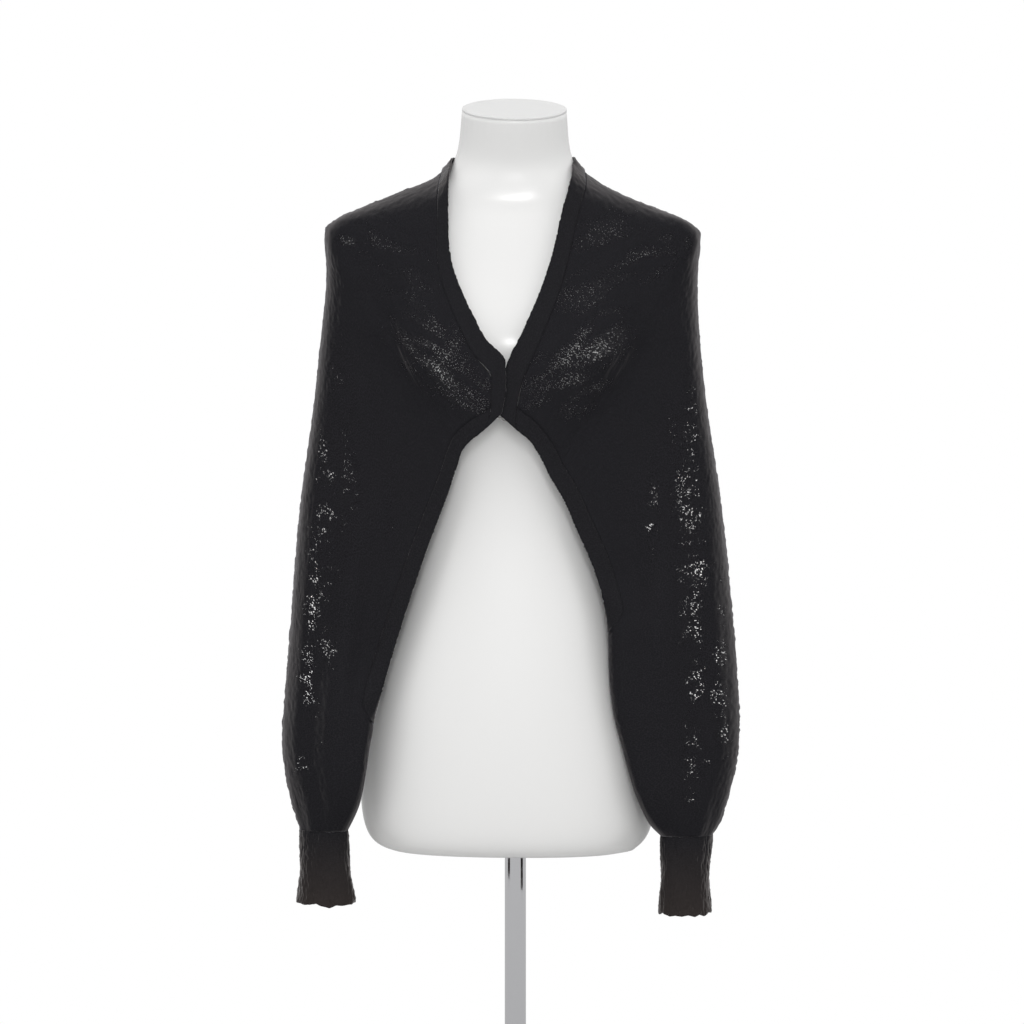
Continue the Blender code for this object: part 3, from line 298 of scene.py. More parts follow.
class Panel:
    # one side's front or back: the smooth surface that its pieces are cut from
    def __init__(self, side, front):
        self.front = front
        self.forward = -1.0 if front else 1.0
        self.underarm = garment["underarm"][side]
        self.courses = np.array(frontCourses[side], float)
        self.backNeck = np.array(backNeck[side], float)
        self.backHem = np.array(backHem[side], float)
        self.end = self.courses[-1, 0]
        self.folds = list(pullFolds + hangFolds if front else backFolds)
        for i, share in enumerate(garment["gatherShares"]):
            depth = garment["gatherDepth"] * (-1 if (i + front) % 2 else 1)
            start = self.end - garment["gatherLength"]
            halfWidth = garment["gatherHalfWidth"]
            stop = self.end + garment["gatherOverrun"]
            self.folds.append((start, share, stop, share, halfWidth, depth))
        line = np.array(neckline[side], float)
        lengths = runLengths(line)
        self.neckKeys, self.neckLine = lengths / lengths[-1], line

    def course(self, along):
        rows = smoothThrough(self.courses[:, 0], self.courses[:, 1:], along)
        over, edge, swell = rows[:, 0:3], rows[:, 3:6], rows[:, 6]
        if not self.front:
            neck = smoothThrough(self.backNeck[:, 0], self.backNeck[:, 1:], along)
            hem = smoothThrough(self.backHem[:, 0], self.backHem[:, 1:], along)
            over = np.where((along < garment["bandWidth"])[:, None], neck, over)
            edge = np.where((along < self.underarm)[:, None], hem[:, :3], edge)
            swell = np.where(along < self.underarm, hem[:, 3], swell)
        return over, edge, swell

    def closedness(self, along):
        closing = garment["closing"][self.front]
        return smoothStep((np.asarray(along) - self.underarm) / closing + 1)

    def bandShare(self, along):
        over, edge, _ = self.course(along)
        width = np.linalg.norm(edge - over, axis=1)
        taper = np.clip((self.underarm - along) / garment["bandTaper"], garment["bandTip"], 1.0)
        return 1 - garment["bandWidth"] * np.where(along < self.underarm, taper, 0.0) / width

    def surface(self, along, share):
        shape = np.shape(along)
        along, share = np.ravel(along), np.ravel(share)
        over, edge, swell = self.course(along)
        s = share[:, None]
        points = over * (1 - s) + edge * s
        closed = self.closedness(along)
        w = 1 - share
        openArc = garment["openSwell"] * w ** garment["openFall"]
        openArc = openArc * np.sqrt(np.clip(1 - w * w, 0, 1))
        tubeArc = 2 * np.sqrt(np.clip(share * w, 0, 1))
        points[:, 1] += self.forward * swell * (openArc * (1 - closed) + tubeArc * closed)
        if self.front:
            neck = smoothThrough(self.neckKeys, self.neckLine, share)
            chord = self.neckLine[0] * (1 - s) + self.neckLine[-1] * s
            fade = 1 - smoothStep(along / garment["necklineReach"])
            points += (neck - chord) * fade[:, None]
        width = np.linalg.norm(edge - over, axis=1)
        points[:, 1] += self.forward * self.foldDepth(along, share, width)
        return points.reshape(*shape, 3)

    def foldDepth(self, along, share, width):
        total = np.zeros(len(along))
        closed = self.closedness(along)
        calm = smoothStep(share / garment["calmShare"])
        calm *= 1 - closed * (1 - smoothStep((1 - share) / garment["calmShare"]))
        usual = garment["usualWidth"]
        for fromAlong, fromShare, toAlong, toShare, halfWidth, depth in self.folds:
            run = np.array([toAlong - fromAlong, (toShare - fromShare) * usual])
            backAlong = along - fromAlong
            backAcross = (share - fromShare) * usual
            t = np.clip((backAlong * run[0] + backAcross * run[1]) / (run @ run), 0, 1)
            offAlong = backAlong - t * run[0]
            offAcross = (share - fromShare - t * (toShare - fromShare)) * width
            off = np.hypot(offAlong, offAcross)
            ends = garment["foldEnds"]
            rise = np.sin(np.pi * np.clip(t, ends, 1 - ends)) ** garment["foldRise"]
            total += depth * rise * np.exp(-((off / halfWidth) ** 2))
        return total * calm

    def stations(self):
        band = garment["bandWidth"]
        upper = np.linspace(band, garment["shoulderEnd"], garment["upperRows"] + 1)
        gathered = self.end - garment["gatherLength"]
        sleeve = np.linspace(garment["shoulderEnd"], gathered, garment["sleeveRows"] + 1)[1:]
        nearest = np.argmin(np.abs(sleeve - self.underarm))
        sleeve[nearest] = self.underarm
        sleeve = np.insert(sleeve, nearest, self.underarm - garment["bandStop"])
        wrist = np.linspace(gathered, self.end, garment["wristRows"] + 1)[1:]
        common = np.concatenate([upper, sleeve, wrist])
        if self.front:
            return np.concatenate([[0, band / 2], common])
        neck = np.linspace(self.backNeck[0, 0], band, garment["neckRows"] + 1)[:-1]
        return np.concatenate([neck, common])

    def draped(self):
        # the grid of points on the form, with the columns of the edge band last
        along = self.stations()
        t = np.linspace(0, 1, garment["columns"] + 1)[None, :]
        closed = self.closedness(along)[:, None]
        turned = (1 - np.cos(np.pi * t / 2)) * (1 - closed) + (1 - np.cos(np.pi * t)) / 2 * closed
        seam = self.bandShare(along)[:, None]
        shares = (garment["turnWeight"] * turned + (1 - garment["turnWeight"]) * t) * seam
        inBand = np.linspace(0, 1, garment["bandColumns"] + 1)[None, 1:]
        shares = np.concatenate([shares, seam + (1 - seam) * inBand], axis=1)
        grid = self.surface(np.repeat(along[:, None], shares.shape[1], axis=1), shares)
        held = np.zeros(grid.shape[:2])
        self.onFold = along > garment["bandWidth"] - 1
        held[self.onFold, 0] = 1
        self.closedRows = along >= self.underarm
        held[self.closedRows, garment["columns"]:] = 1
        drape(grid, held)
        self.along, self.grid = along, grid
        self.underarmRow = int(np.flatnonzero(self.closedRows)[0])


def shortfall(point, clear):
    # how far a point still has to go to be clear of the form, and which way
    place, normal, _, _ = skin.find_nearest(Vector(point))
    return clear - (Vector(point) - place).dot(normal), normal


def standOff(points, clear):
    flat = points.reshape(-1, 3)
    moves = np.zeros((len(flat), 3))
    for i, point in enumerate(flat):
        short, normal = shortfall(point, clear)
        if short > 0:
            moves[i] = normal * short
    return moves.reshape(points.shape)


def further(moves, others):
    longer = np.linalg.norm(others, axis=-1) > np.linalg.norm(moves, axis=-1)
    return np.where(longer[..., None], others, moves)


def lineStandOff(line):
    # the overarm fold moves up and sideways only
    lift = np.zeros_like(line)
    for _ in range(garment["drapeRounds"]):
        now = line + lift
        moves = standOff(now, garment["clothClear"])
        between = standOff((now[1:] + now[:-1]) / 2, garment["clothClear"])
        moves[1:] = further(moves[1:], between)
        moves[:-1] = further(moves[:-1], between)
        lift += moves * [1, 0, 1]
    return lift


def eased(grid):
    # one round of smoothing of all but the borders
    calm = grid.copy()
    around = grid[:-2, 1:-1] + grid[2:, 1:-1] + grid[1:-1, :-2] + grid[1:-1, 2:]
    calm[1:-1, 1:-1] = (grid[1:-1, 1:-1] * 2 + around) / 6
    return calm


def drape(grid, held):
    # what must stand off the form lifts its surroundings with it
    lift = np.zeros_like(grid)
    lift[:, 0] = lineStandOff(grid[:, 0])
    lift[:, 0] *= held[:, 0, None]
    fixed = held > 0
    for turn in range(garment["drapeRounds"] + garment["settleRounds"]):
        now = grid + lift
        moves = standOff(now, garment["clothClear"])
        rising = standOff((now[1:, 1:] + now[:-1, :-1]) / 2, garment["midwayClear"])
        falling = standOff((now[1:, :-1] + now[:-1, 1:]) / 2, garment["midwayClear"])
        between = further(rising, falling)
        for rows in (slice(1, None), slice(None, -1)):
            for columns in (slice(1, None), slice(None, -1)):
                moves[rows, columns] = further(moves[rows, columns], between)
        moves[fixed] = 0
        lift += moves
        if turn >= garment["drapeRounds"]:
            continue
        calm = eased(lift)
        calm[fixed] = lift[fixed]
        lift = calm
    grid += lift


# ---- finer grids
def reflected(points, line):
    # the next column beyond a fold: that of the other panel, which is this one's mirror image
    beyond = points.copy()
    beyond[:, 1] = 2 * line[:, 1] - points[:, 1]
    return beyond


def fineColumns(panel, first, last, steps):
    # the panel's grid from column `first` to `last`, each column divided into `steps`
    grid = panel.grid[:, first:last + 1]
    ahead = 2 * grid[:, 0] - grid[:, 1]
    after = 2 * grid[:, -1] - grid[:, -2]
    if first == 0:
        ahead[panel.onFold] = reflected(grid[:, 1], grid[:, 0])[panel.onFold]
    after[panel.closedRows] = reflected(grid[:, -2], grid[:, -1])[panel.closedRows]
    whole = np.concatenate([ahead[:, None], grid, after[:, None]], axis=1)
    at = np.linspace(0, last - first, (last - first) * steps + 1)
    columns = smoothThrough(
        np.arange(-1, last - first + 2), np.swapaxes(whole, 0, 1).reshape(whole.shape[1], -1), at
    )
    return np.swapaxes(columns.reshape(len(at), len(grid), 3), 0, 1)


def fineRows(along, grid, spacing):
    at = np.linspace(along[0], along[-1], int((along[-1] - along[0]) / spacing) + 1)
    rows = smoothThrough(along, grid.reshape(len(grid), -1), at, firm=True)
    return rows.reshape(len(at), -1, 3), at


def settled(grid):
    # a finished grid with its creases eased, clear of the form at every point, which it
    # leaves without a crease
    for _ in range(garment["softRounds"]):
        grid = eased(grid)
    flat = grid.reshape(-1, 3).copy()
    soft = garment["contactSoftness"]
    for i, point in enumerate(flat):
        short, normal = shortfall(point, garment["fineClear"])
        if short > -6 * soft:  # further out the push is nothing
            flat[i] += np.array(normal) * soft * np.logaddexp(0, short / soft)
    return flat.reshape(grid.shape)


def yarnNubs(grid, amount, seed, free=None):
    # uneven bumps of the yarn, about one stitch wide, none on a seam; `free` is the column
    # of a free edge, where they show in the outline
    draw = np.random.default_rng(seed)
    # lower where columns stand close, so that they don't run into ridges
    spacing = np.linalg.norm(np.gradient(grid, axis=1), axis=2)
    bumps = draw.normal(0, 1, grid.shape[:2]) * np.clip(spacing / garment["nubWidth"], 0, 1)
    along, across = garment["nubShared"]
    soft = bumps.copy()
    soft[1:-1] += along * (bumps[2:] + bumps[:-2])
    soft[:, 1:-1] += across * (bumps[:, 2:] + bumps[:, :-2])
    soft[[0, -1]] = 0
    soft[:, [0, -1]] = 0
    normals = unit(np.cross(np.gradient(grid, axis=0), np.gradient(grid, axis=1)))
    nubby = grid + normals * (soft * amount)[..., None]
    if free is not None:
        outward = unit(grid[:, free] - grid[:, 1 if free == 0 else -2])
        nubby[:, free] += outward * (draw.normal(0, 1, len(grid)) * garment["edgeNub"])[:, None]
    return nubby


def foldNubs(grid, along, seed):
    # the same bumps for the front and the back, where the fold between them shows in the outline
    outward = unit(grid[:, 0] - grid[:, -1]) * [1, 0, 1]
    long, short = garment["foldNubLengths"]
    bumps = streakNoise(along / long, along * 0, seed)
    bumps = bumps + streakNoise(along / short, along * 0, seed + 1)
    push = (bumps - 1) * garment["foldNub"]
    away = np.linalg.norm(grid - grid[:, :1], axis=2)
    fade = np.exp(-((away / garment["foldNubReach"]) ** 2))
    return grid + outward[:, None] * (push[:, None] * fade)[..., None]


def streakNoise(u, v, seed):
    # smooth random values, one for each unit square
    table = np.random.default_rng(seed).random((64, 64))
    i, j = np.floor(u).astype(int), np.floor(v).astype(int)
    s, t = smoothStep(u - i), smoothStep(v - j)
    near = table[i % 64, j % 64] * (1 - s) + table[(i + 1) % 64, j % 64] * s
    far = table[i % 64, (j + 1) % 64] * (1 - s) + table[(i + 1) % 64, (j + 1) % 64] * s
    return near * (1 - t) + far * t


def patchStrength(grid, patches):
    # how sheer the knit is at each point, from where the photograph shows the patches
    away = -photo["eye"][1]
    perPixel = photo["widthAtPole"] / photo["pixels"] * (grid[..., 1] + away) / away
    px = photo["pixels"] / 2 + (grid[..., 0] - photo["eye"][0]) / perPixel
    py = photo["pixels"] / 2 - (grid[..., 2] - photo["eye"][2]) / perPixel
    low, high = sheerLook["streaksFrom"], sheerLook["streaksTo"]
    sheer = np.zeros(grid.shape[:2])
    for x, y, halfLength, halfWidth, turned, strength, streak in patches:
        c, s = math.cos(math.radians(turned)), math.sin(math.radians(turned))
        u = (px - x) * c + (y - py) * s
        v = (y - py) * c - (px - x) * s
        off = np.hypot(u / halfLength, v / halfWidth)
        patch = strength * np.exp(-sheerLook["falloff"] * off**3)
        if streak:
            # both layers of a sleeve break up alike, so that the light comes through both
            noise = streakNoise(u / streak, v / sheerLook["streakWidth"], 1000 * x + y)
            patch *= smoothStep((noise - low) / (high - low))
        sheer = np.maximum(sheer, patch)
    return sheer


def sheerness(grid, side, layer):
    # how open the knit is, and how far the bust stretches it
    bust, sleeve = patchStrength(grid, bustPatches[side]), patchStrength(grid, sleevePatches[side])
    bustShare, sleeveShare = sheerLook[layer]
    return np.maximum(bust * bustShare, sleeve * sleeveShare), bust


# ---- meshes
def linked(name, data):
    made = bpy.data.objects.new(name, data)
    bpy.context.scene.collection.objects.link(made)
    return made


def clothMesh(name, grid, marks, thickness, free=None, closeRound=False):
    # a sheet through a grid of points, with UVs in metres of cloth along and across;
    # `marks` say where it is sheer, `free` is the column of its free edge, and its other
    # borders lie in seams
    rows, columns = grid.shape[:2]
    bm = bmesh.new()
    bmesh.ops.create_grid(bm, x_segments=columns - 1, y_segments=rows - 1, size=1)
    made = bpy.data.meshes.new(name)
    bm.to_mesh(made)
    bm.free()
    flat = np.empty(rows * columns * 3)
    made.vertices.foreach_get("co", flat)
    flat = flat.reshape(-1, 3)
    j = np.rint((flat[:, 0] + 1) / 2 * (columns - 1)).astype(int)
    i = np.rint((flat[:, 1] + 1) / 2 * (rows - 1)).astype(int)
    made.vertices.foreach_set("co", (grid[i, j] * mm).ravel())
    across = np.linalg.norm(np.diff(grid, axis=1), axis=2)
    across = np.concatenate([np.zeros((rows, 1)), np.cumsum(across, axis=1)], axis=1)
    down = runLengths(grid[:, columns // 2])[:, None] + np.zeros((1, columns))
    uv = np.stack([down[i, j], across[i, j]], axis=1) * mm
    corners = np.empty(len(made.loops), dtype=int)
    made.loops.foreach_get("vertex_index", corners)
    layer = made.uv_layers.new(name="cloth")
    layer.data.foreach_set("uv", uv[corners].ravel())
    seam = np.zeros((rows, columns))
    if not closeRound:
        seam[[0, -1]] = 1
        seam[:, [0, -1]] = 1
    if free is not None:
        seam[:, free] = 0
    none = np.zeros((rows, columns))
    worn = none + np.linspace(0, closeRound, rows)[:, None]
    marks = {"sheer": none, "veil": none, "seam": seam, "worn": worn, **marks}
    for mark, values in marks.items():
        made.attributes.new(mark, "FLOAT", "POINT").data.foreach_set("value", values[i, j])
    made.shade_smooth()
    made.update()
    piece = linked(name, made)
    bm = bmesh.new()
    bm.from_mesh(made)
    if closeRound:
        bmesh.ops.remove_doubles(bm, verts=bm.verts, dist=garment["joined"])
    bm.normal_update()
    tried = list(bm.faces)[::garment["facesTried"]]
    if sum(f.normal.dot(f.calc_center_median() - clothCentre(f)) for f in tried) < 0:
        bmesh.ops.reverse_faces(bm, faces=bm.faces)
    bm.to_mesh(made)
    bm.free()
    wall = piece.modifiers.new("thickness", "SOLIDIFY")
    wall.thickness = thickness * mm
    wall.offset = 0
    return piece


def clothCentre(face):
    # the point inside the garment that this stretch of cloth faces away from
    place = face.calc_center_median()
    out, top = garment["armFrom"]
    inSleeve = abs(place.x) > out * mm and place.z < top * mm
    x, y = garment["armInside"] if inSleeve else (0.0, 0.0)
    return Vector((math.copysign(x * mm, place.x), y * mm, place.z))


# ---- materials
def newMaterial(name, colour, roughness, metallic=0.0):
    made = bpy.data.materials.new(name)
    made.use_nodes = True
    shader = made.node_tree.nodes["Principled BSDF"]
    shader.inputs["Base Color"].default_value = (*colour, 1)
    shader.inputs["Roughness"].default_value = roughness
    shader.inputs["Metallic"].default_value = metallic
    return made, Wires(made.node_tree), shader


class Wires:
    # short ways to add and join nodes in one tree
    def __init__(self, tree):
        self.tree = tree

    def add(self, kind, **values):
        node = self.tree.nodes.new(kind)
        for key, value in values.items():
            setattr(node, key, value)
        return node

    def join(self, source, target):
        self.tree.links.new(source, target)

    def give(self, socket, source):
        # a number or a colour sets the socket, another node's output is joined to it
        if isinstance(source, (int, float, tuple)):
            socket.default_value = source
        else:
            self.join(source, socket)

    def feed(self, node, **sources):
        for name, source in sources.items():
            self.give(node.inputs[name.replace("_", " ")], source)
        return node

    def both(self, node, a, b):
        self.give(node.inputs[0], a)
        self.give(node.inputs[1], b)
        return node.outputs[0]

    def maths(self, operation, a, b, clamp=False):
        return self.both(self.add("ShaderNodeMath", operation=operation, use_clamp=clamp), a, b)

    def vectors(self, operation, a, b):
        return self.both(self.add("ShaderNodeVectorMath", operation=operation), a, b)

    def ramp(self, value, low, high, outLow=0.0, outHigh=1.0):
        node = self.add("ShaderNodeMapRange", interpolation_type="SMOOTHSTEP")
        self.feed(node, Value=value, From_Min=low, From_Max=high, To_Min=outLow, To_Max=outHigh)
        return node.outputs["Result"]

    def mixed(self, factor, a, b):
        node = self.feed(self.add("ShaderNodeMix", data_type="RGBA"), Factor=factor, A=a, B=b)
        return node.outputs["Result"]

    def noise(self, where, scale, detail=2.0, dimensions="3D"):
        node = self.add("ShaderNodeTexNoise", noise_dimensions=dimensions)
        return self.feed(node, Vector=where, Scale=scale, Detail=detail)

    def mark(self, name):
        # one of the marks that clothMesh writes
        return self.add("ShaderNodeAttribute", attribute_name=name).outputs["Fac"]

    def place(self, kind):
        return self.add("ShaderNodeTexCoord").outputs[kind]

    def bump(self, height, strength, distance, shader):
        node = self.add("ShaderNodeBump")
        self.feed(node, Height=height, Strength=strength, Distance=distance)
        self.join(node.outputs["Normal"], shader.inputs["Normal"])


knitLook = {
    "stitch": 0.0014,  # along the cuff-to-cuff direction
    "course": 0.0020,  # and across it
    "uneven": 0.8,
    "wander": 0.004,  # how far the yarn strays
    "wanderScale": 70,
    "smallest": (0.05, 0.03),  # the openings' chance and radius, in stitches
    "largest": (1.0, 0.54),
    "opening": 0.7,  # how they grow with the sheerness
    "edge": 0.06,  # how soft their borders are
    "closed": (0.02, 0.12),  # the sheerness at which they begin
    "veil": 0.14,  # what stretched cloth lets through between its openings
    "yarn": (900, 3.0),
    "raised": (0.10, 0.65),
    "heights": (0.55, 0.6),  # of the stitch and of its yarn
    # painted shade: the heights over which the colour goes from the hollows' dark to the tops'
    # light
    "shade": (0.2, 1.1),
    "bump": (0.4, 0.0004),
    # painted sheen: the facing values over which it grows, and how much of it the knit and cuffs
    # get
    "paintedSheenFacing": (0.3, 1.05),
    "paintedSheenShare": (0.55, 1.0),  # on the knit and on the cuffs
    "through": 0.9,  # the light that sheer cloth scatters forward
    "roughness": 0.9,
    "sheenRoughness": 0.22,
    "sheenTint": (0.75, 0.75, 0.8, 1),
    "specular": 0.04,
}


def knitGroup():
    # the bouclé knit: UV in metres and sheerness in, openings, yarn height and painted shade out
    group = bpy.data.node_groups.new("boucleKnit", "ShaderNodeTree")
    group.interface.new_socket("Cloth", in_out="INPUT", socket_type="NodeSocketVector")
    for way, names in (("INPUT", ("Sheer", "Veil")), ("OUTPUT", ("Solid", "Height", "Shade"))):
        for name in names:
            group.interface.new_socket(name, in_out=way, socket_type="NodeSocketFloat")
    w = Wires(group)
    start = w.add("NodeGroupInput")
    end = w.add("NodeGroupOutput")
    cloth, sheer = start.outputs["Cloth"], start.outputs["Sheer"]
    # the yarn wanders a little
    stray = w.noise(cloth, knitLook["wanderScale"], dimensions="2D").outputs["Color"]
    stray = w.vectors("SUBTRACT", stray, (0.5, 0.5, 0.5))
    stray = w.vectors("MULTIPLY", stray, (knitLook["wander"],) * 3)
    moved = w.vectors("ADD", cloth, stray)
    perStitch = (1 / knitLook["stitch"], 1 / knitLook["course"], 1)
    stitches = w.add("ShaderNodeTexVoronoi", voronoi_dimensions="2D", feature="F1")
    where = w.vectors("MULTIPLY", moved, perStitch)
    w.feed(stitches, Vector=where, Scale=1, Randomness=knitLook["uneven"])
    away = stitches.outputs["Distance"]
    # the sheerer the cloth, the larger the openings, but no two are alike
    chance = w.add("ShaderNodeSeparateColor")
    w.join(stitches.outputs["Color"], chance.inputs[0])
    (low, least), (high, most) = knitLook["smallest"], knitLook["largest"]
    size = w.ramp(chance.outputs[0], low, high, least, most)
    radius = w.maths("MULTIPLY", w.maths("POWER", sheer, knitLook["opening"]), size)
    solid = w.ramp(w.maths("SUBTRACT", away, radius), -knitLook["edge"], knitLook["edge"])
    # none where the cloth isn't sheer
    solid = w.maths("MAXIMUM", solid, w.ramp(sheer, *knitLook["closed"], 1.0, 0.0))
    veil = w.maths("MULTIPLY", start.outputs["Veil"], knitLook["veil"])
    w.join(w.maths("SUBTRACT", solid, veil, clamp=True), end.inputs["Solid"])
    yarn = w.noise(moved, *knitLook["yarn"], dimensions="2D").outputs["Fac"]
    stitchHeight, yarnHeight = knitLook["heights"]
    raised = w.maths("MULTIPLY", w.ramp(away, *knitLook["raised"]), stitchHeight)
    height = w.maths("ADD", raised, w.maths("MULTIPLY", yarn, yarnHeight))
    w.join(height, end.inputs["Height"])
    # painted shade, darker where the yarn lies low in the stitches' hollows and lighter on their
    # tops
    w.join(w.ramp(height, *knitLook["shade"]), end.inputs["Shade"])
    return group


clothLook = {
    # the yarn with painted shade in its hollows and painted light on its tops, its colour in the
    # cuffs, and the painted sheen where the cloth turns away
    "boucleKnit": {
        "dark": (0.0128, 0.0125, 0.0145),
        "light": (0.021, 0.0205, 0.0236),
        "worn": (0.021, 0.0205, 0.0236),
        "paintedSheen": (0.26, 0.245, 0.245),
        "sheen": 0.3,
    },
    "ribKnit": {
        "dark": (0.0130, 0.0127, 0.0145),
        "light": (0.0215, 0.021, 0.0238),
        "worn": (0.035, 0.0295, 0.028),
        "paintedSheen": (0.26, 0.245, 0.24),
        "sheen": 0.35,
    },
}


def clothMaterial(name, group):
    look = clothLook[name]
    made, w, shader = newMaterial(name, look["dark"], knitLook["roughness"])
    shader.inputs["Sheen Weight"].default_value = look["sheen"]
    shader.inputs["Sheen Roughness"].default_value = knitLook["sheenRoughness"]
    shader.inputs["Sheen Tint"].default_value = knitLook["sheenTint"]
    shader.inputs["Specular IOR Level"].default_value = knitLook["specular"]
    cloth = w.add("ShaderNodeUVMap", uv_map="cloth").outputs["UV"]
    sheer, worn = w.mark("sheer"), w.mark("worn")
    knit = w.add("ShaderNodeGroup", node_tree=group)
    w.feed(knit, Cloth=cloth, Sheer=sheer, Veil=w.mark("veil"))
    # painted shade in the hollows and painted light on the tops, from the knit's height
    colour = w.mixed(knit.outputs["Shade"], (*look["dark"], 1), (*look["light"], 1))
    # the cuffs' yarn is fluffier and browner
    colour = w.mixed(worn, colour, (*look["worn"], 1))
    # a painted sheen lightens the colour where the cloth turns away from the view, though not in a
    # seam
    turned = w.add("ShaderNodeLayerWeight")
    turned.inputs["Blend"].default_value = 0.5
    paintedSheenMask = w.maths("SUBTRACT", 1.0, w.mark("seam"))
    # more painted sheen on the cuffs, growing towards their lower edge
    paintedSheenMask = w.maths("MULTIPLY", paintedSheenMask, w.ramp(worn, 0.0, 0.5, *knitLook["paintedSheenShare"]))
    rim = w.ramp(turned.outputs["Facing"], *knitLook["paintedSheenFacing"])
    colour = w.mixed(w.maths("MULTIPLY", rim, paintedSheenMask), colour, (*look["paintedSheen"], 1))
    w.join(colour, shader.inputs["Base Color"])
    # the light that the sheer parts scatter forward reaches the form behind them
    through = w.maths("MULTIPLY", sheer, knitLook["through"], clamp=True)
    path = w.add("ShaderNodeLightPath")
    scattered = w.maths("MAXIMUM", path.outputs["Is Shadow Ray"], path.outputs["Is Diffuse Ray"])
    stopped = w.maths("SUBTRACT", 1.0, w.maths("MULTIPLY", scattered, through))
    w.join(w.maths("MULTIPLY", knit.outputs["Solid"], stopped), shader.inputs["Alpha"])
    w.bump(knit.outputs["Height"], *knitLook["bump"], shader)
    return made


# Columns: colour, roughness, coat, the coat's roughness, bumps to the metre, their strength and
# their height in metres.
plastics = {
    "glossWhite": ((0.87, 0.868, 0.86), 0.23, 0.15, 0.2, 25, 0.03, 0.0006),
    "capGrey": ((0.78, 0.78, 0.775), 0.5, 0.0, 0.03, 400, 0.1, 0.0004),
}
metals = {
    "standChrome": ((0.78, 0.78, 0.8), 0.08),
    "hookWire": ((0.62, 0.61, 0.6), 0.22),
    "scuffs": (120, 4.0),
    "scuffed": (0.35, 0.75),
    "rougher": 0.12,
}


def plasticMaterial(name):
    # moulded plastic is never quite flat
    colour, roughness, coat, coatRoughness, scale, strength, height = plastics[name]
    made, w, shader = newMaterial(name, colour, roughness)
    shader.inputs["Coat Weight"].default_value = coat
    shader.inputs["Coat Roughness"].default_value = coatRoughness
    w.bump(w.noise(w.place("Object"), scale).outputs["Fac"], strength, height, shader)
    return made


def metalMaterial(name):
    colour, roughness = metals[name]
    made, w, shader = newMaterial(name, colour, roughness, 1.0)
    scuffs = w.noise(w.place("Object"), *metals["scuffs"]).outputs["Fac"]
    scuffed = w.ramp(scuffs, *metals["scuffed"], roughness, roughness + metals["rougher"])
    w.join(scuffed, shader.inputs["Roughness"])
    return made


knit = knitGroup()
finishes = {
    "boucle_knit": clothMaterial("boucleKnit", knit),
    "rib_knit": clothMaterial("ribKnit", knit),
    "form_gloss": plasticMaterial("glossWhite"),
    "form_cap": plasticMaterial("capGrey"),
    "stand_chrome": metalMaterial("standChrome"),
    "hook_wire": metalMaterial("hookWire"),
}


def paint(piece, slot):
    piece.data.materials.clear()
    piece.data.materials.append(finishes[slot])


def handIn(piece, slot, node):
    paint(piece, slot)
    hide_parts(node)
    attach(piece, "root")


def handInSheet(piece, slot, node):
    handIn(piece, slot, node)
    bpy.context.view_layer.update()


def makeFront(side, panel, seed):
    grid = fineColumns(panel, 0, garment["columns"], garment["fineColumns"])
    first = garment["frontBandRows"]
    grid, along = fineRows(panel.along[first:], grid[first:], garment["fineRow"])
    sheer, bust = sheerness(grid, side, "front")
    grid = foldNubs(yarnNubs(settled(grid), garment["nubHeight"], seed), along, seed)
    marks = {"sheer": sheer, "veil": bust}
    piece = clothMesh(f"front_{side}_knit", grid, marks, garment["knitThickness"])
    handInSheet(piece, "boucle_knit", f"front_{side}")


def makeBack(panels):
    halves = []
    for side, panel in panels.items():
        grid = fineColumns(panel, 0, garment["columns"], garment["fineColumns"])
        grid, along = fineRows(panel.along, grid, garment["backFineRow"])
        halves.append((grid, sheerness(grid, side, "back")[0], along))
    (right, rightSheer, rightAlong), (left, leftSheer, leftAlong) = halves
    whole = settled(np.concatenate([right[::-1], left[1:]]))
    grid = yarnNubs(whole, garment["nubHeight"], 3)
    grid[:len(right)] = foldNubs(grid[:len(right)], rightAlong[::-1], frontSeeds["right"])
    grid[len(right):] = foldNubs(grid[len(right):], leftAlong[1:], frontSeeds["left"])
    sheer = np.concatenate([rightSheer[::-1], leftSheer[1:]])
    piece = clothMesh("back_knit", grid, {"sheer": sheer}, garment["knitThickness"])
    handInSheet(piece, "boucle_knit", "back")


def makeHemBand(side, name, panel, first, seed):
    stop = panel.underarmRow + 1
    last = garment["columns"] + garment["bandColumns"]
    grid = fineColumns(panel, garment["columns"], last, garment["bandFineColumns"])
    grid, _ = fineRows(panel.along[first:stop], grid[first:stop], garment["fineRow"])
    grid = yarnNubs(settled(grid), garment["nubHeight"], seed, -1)
    piece = clothMesh(f"hem_band_{name}_{side}", grid, {}, garment["bandThickness"], -1)
    handInSheet(piece, "rib_knit", f"hemband_{name}_{side}")


def makeNeckBand(side, front, back, seed):
    rows = np.array(neckBandTop[side], float)
    neck = garment["neckRows"] + 1
    top = smoothThrough(rows[:, 0], rows[:, 1:], back.along[:neck])
    t = np.linspace(0, 1, 3)[None, :, None]
    behind = top[:, None] * (1 - t) + back.grid[:neck, 0][:, None] * t
    ahead = np.swapaxes(front.grid[: garment["frontBandRows"] + 1], 0, 1)[1:]
    strip = np.concatenate([behind, ahead])
    held = np.zeros(strip.shape[:2])
    held[:, -1] = 1
    held[len(behind):] = 1
    drape(strip, held)
    # finer, first across the band and then along it
    across = np.linspace(0, 2, 2 * garment["bandFineColumns"] + 1)
    strip = smoothThrough([0, 1, 2], np.swapaxes(strip, 0, 1).reshape(3, -1), across)
    strip = np.swapaxes(strip.reshape(len(across), -1, 3), 0, 1)
    middle = strip[:, garment["bandFineColumns"]]
    strip, _ = fineRows(runLengths(middle), strip, garment["fineRow"])
    strip = yarnNubs(settled(strip), garment["nubHeight"], seed, 0)
    piece = clothMesh(f"neck_band_{side}", strip, {}, garment["bandThickness"], 0)
    handInSheet(piece, "rib_knit", f"neckband_{side}")


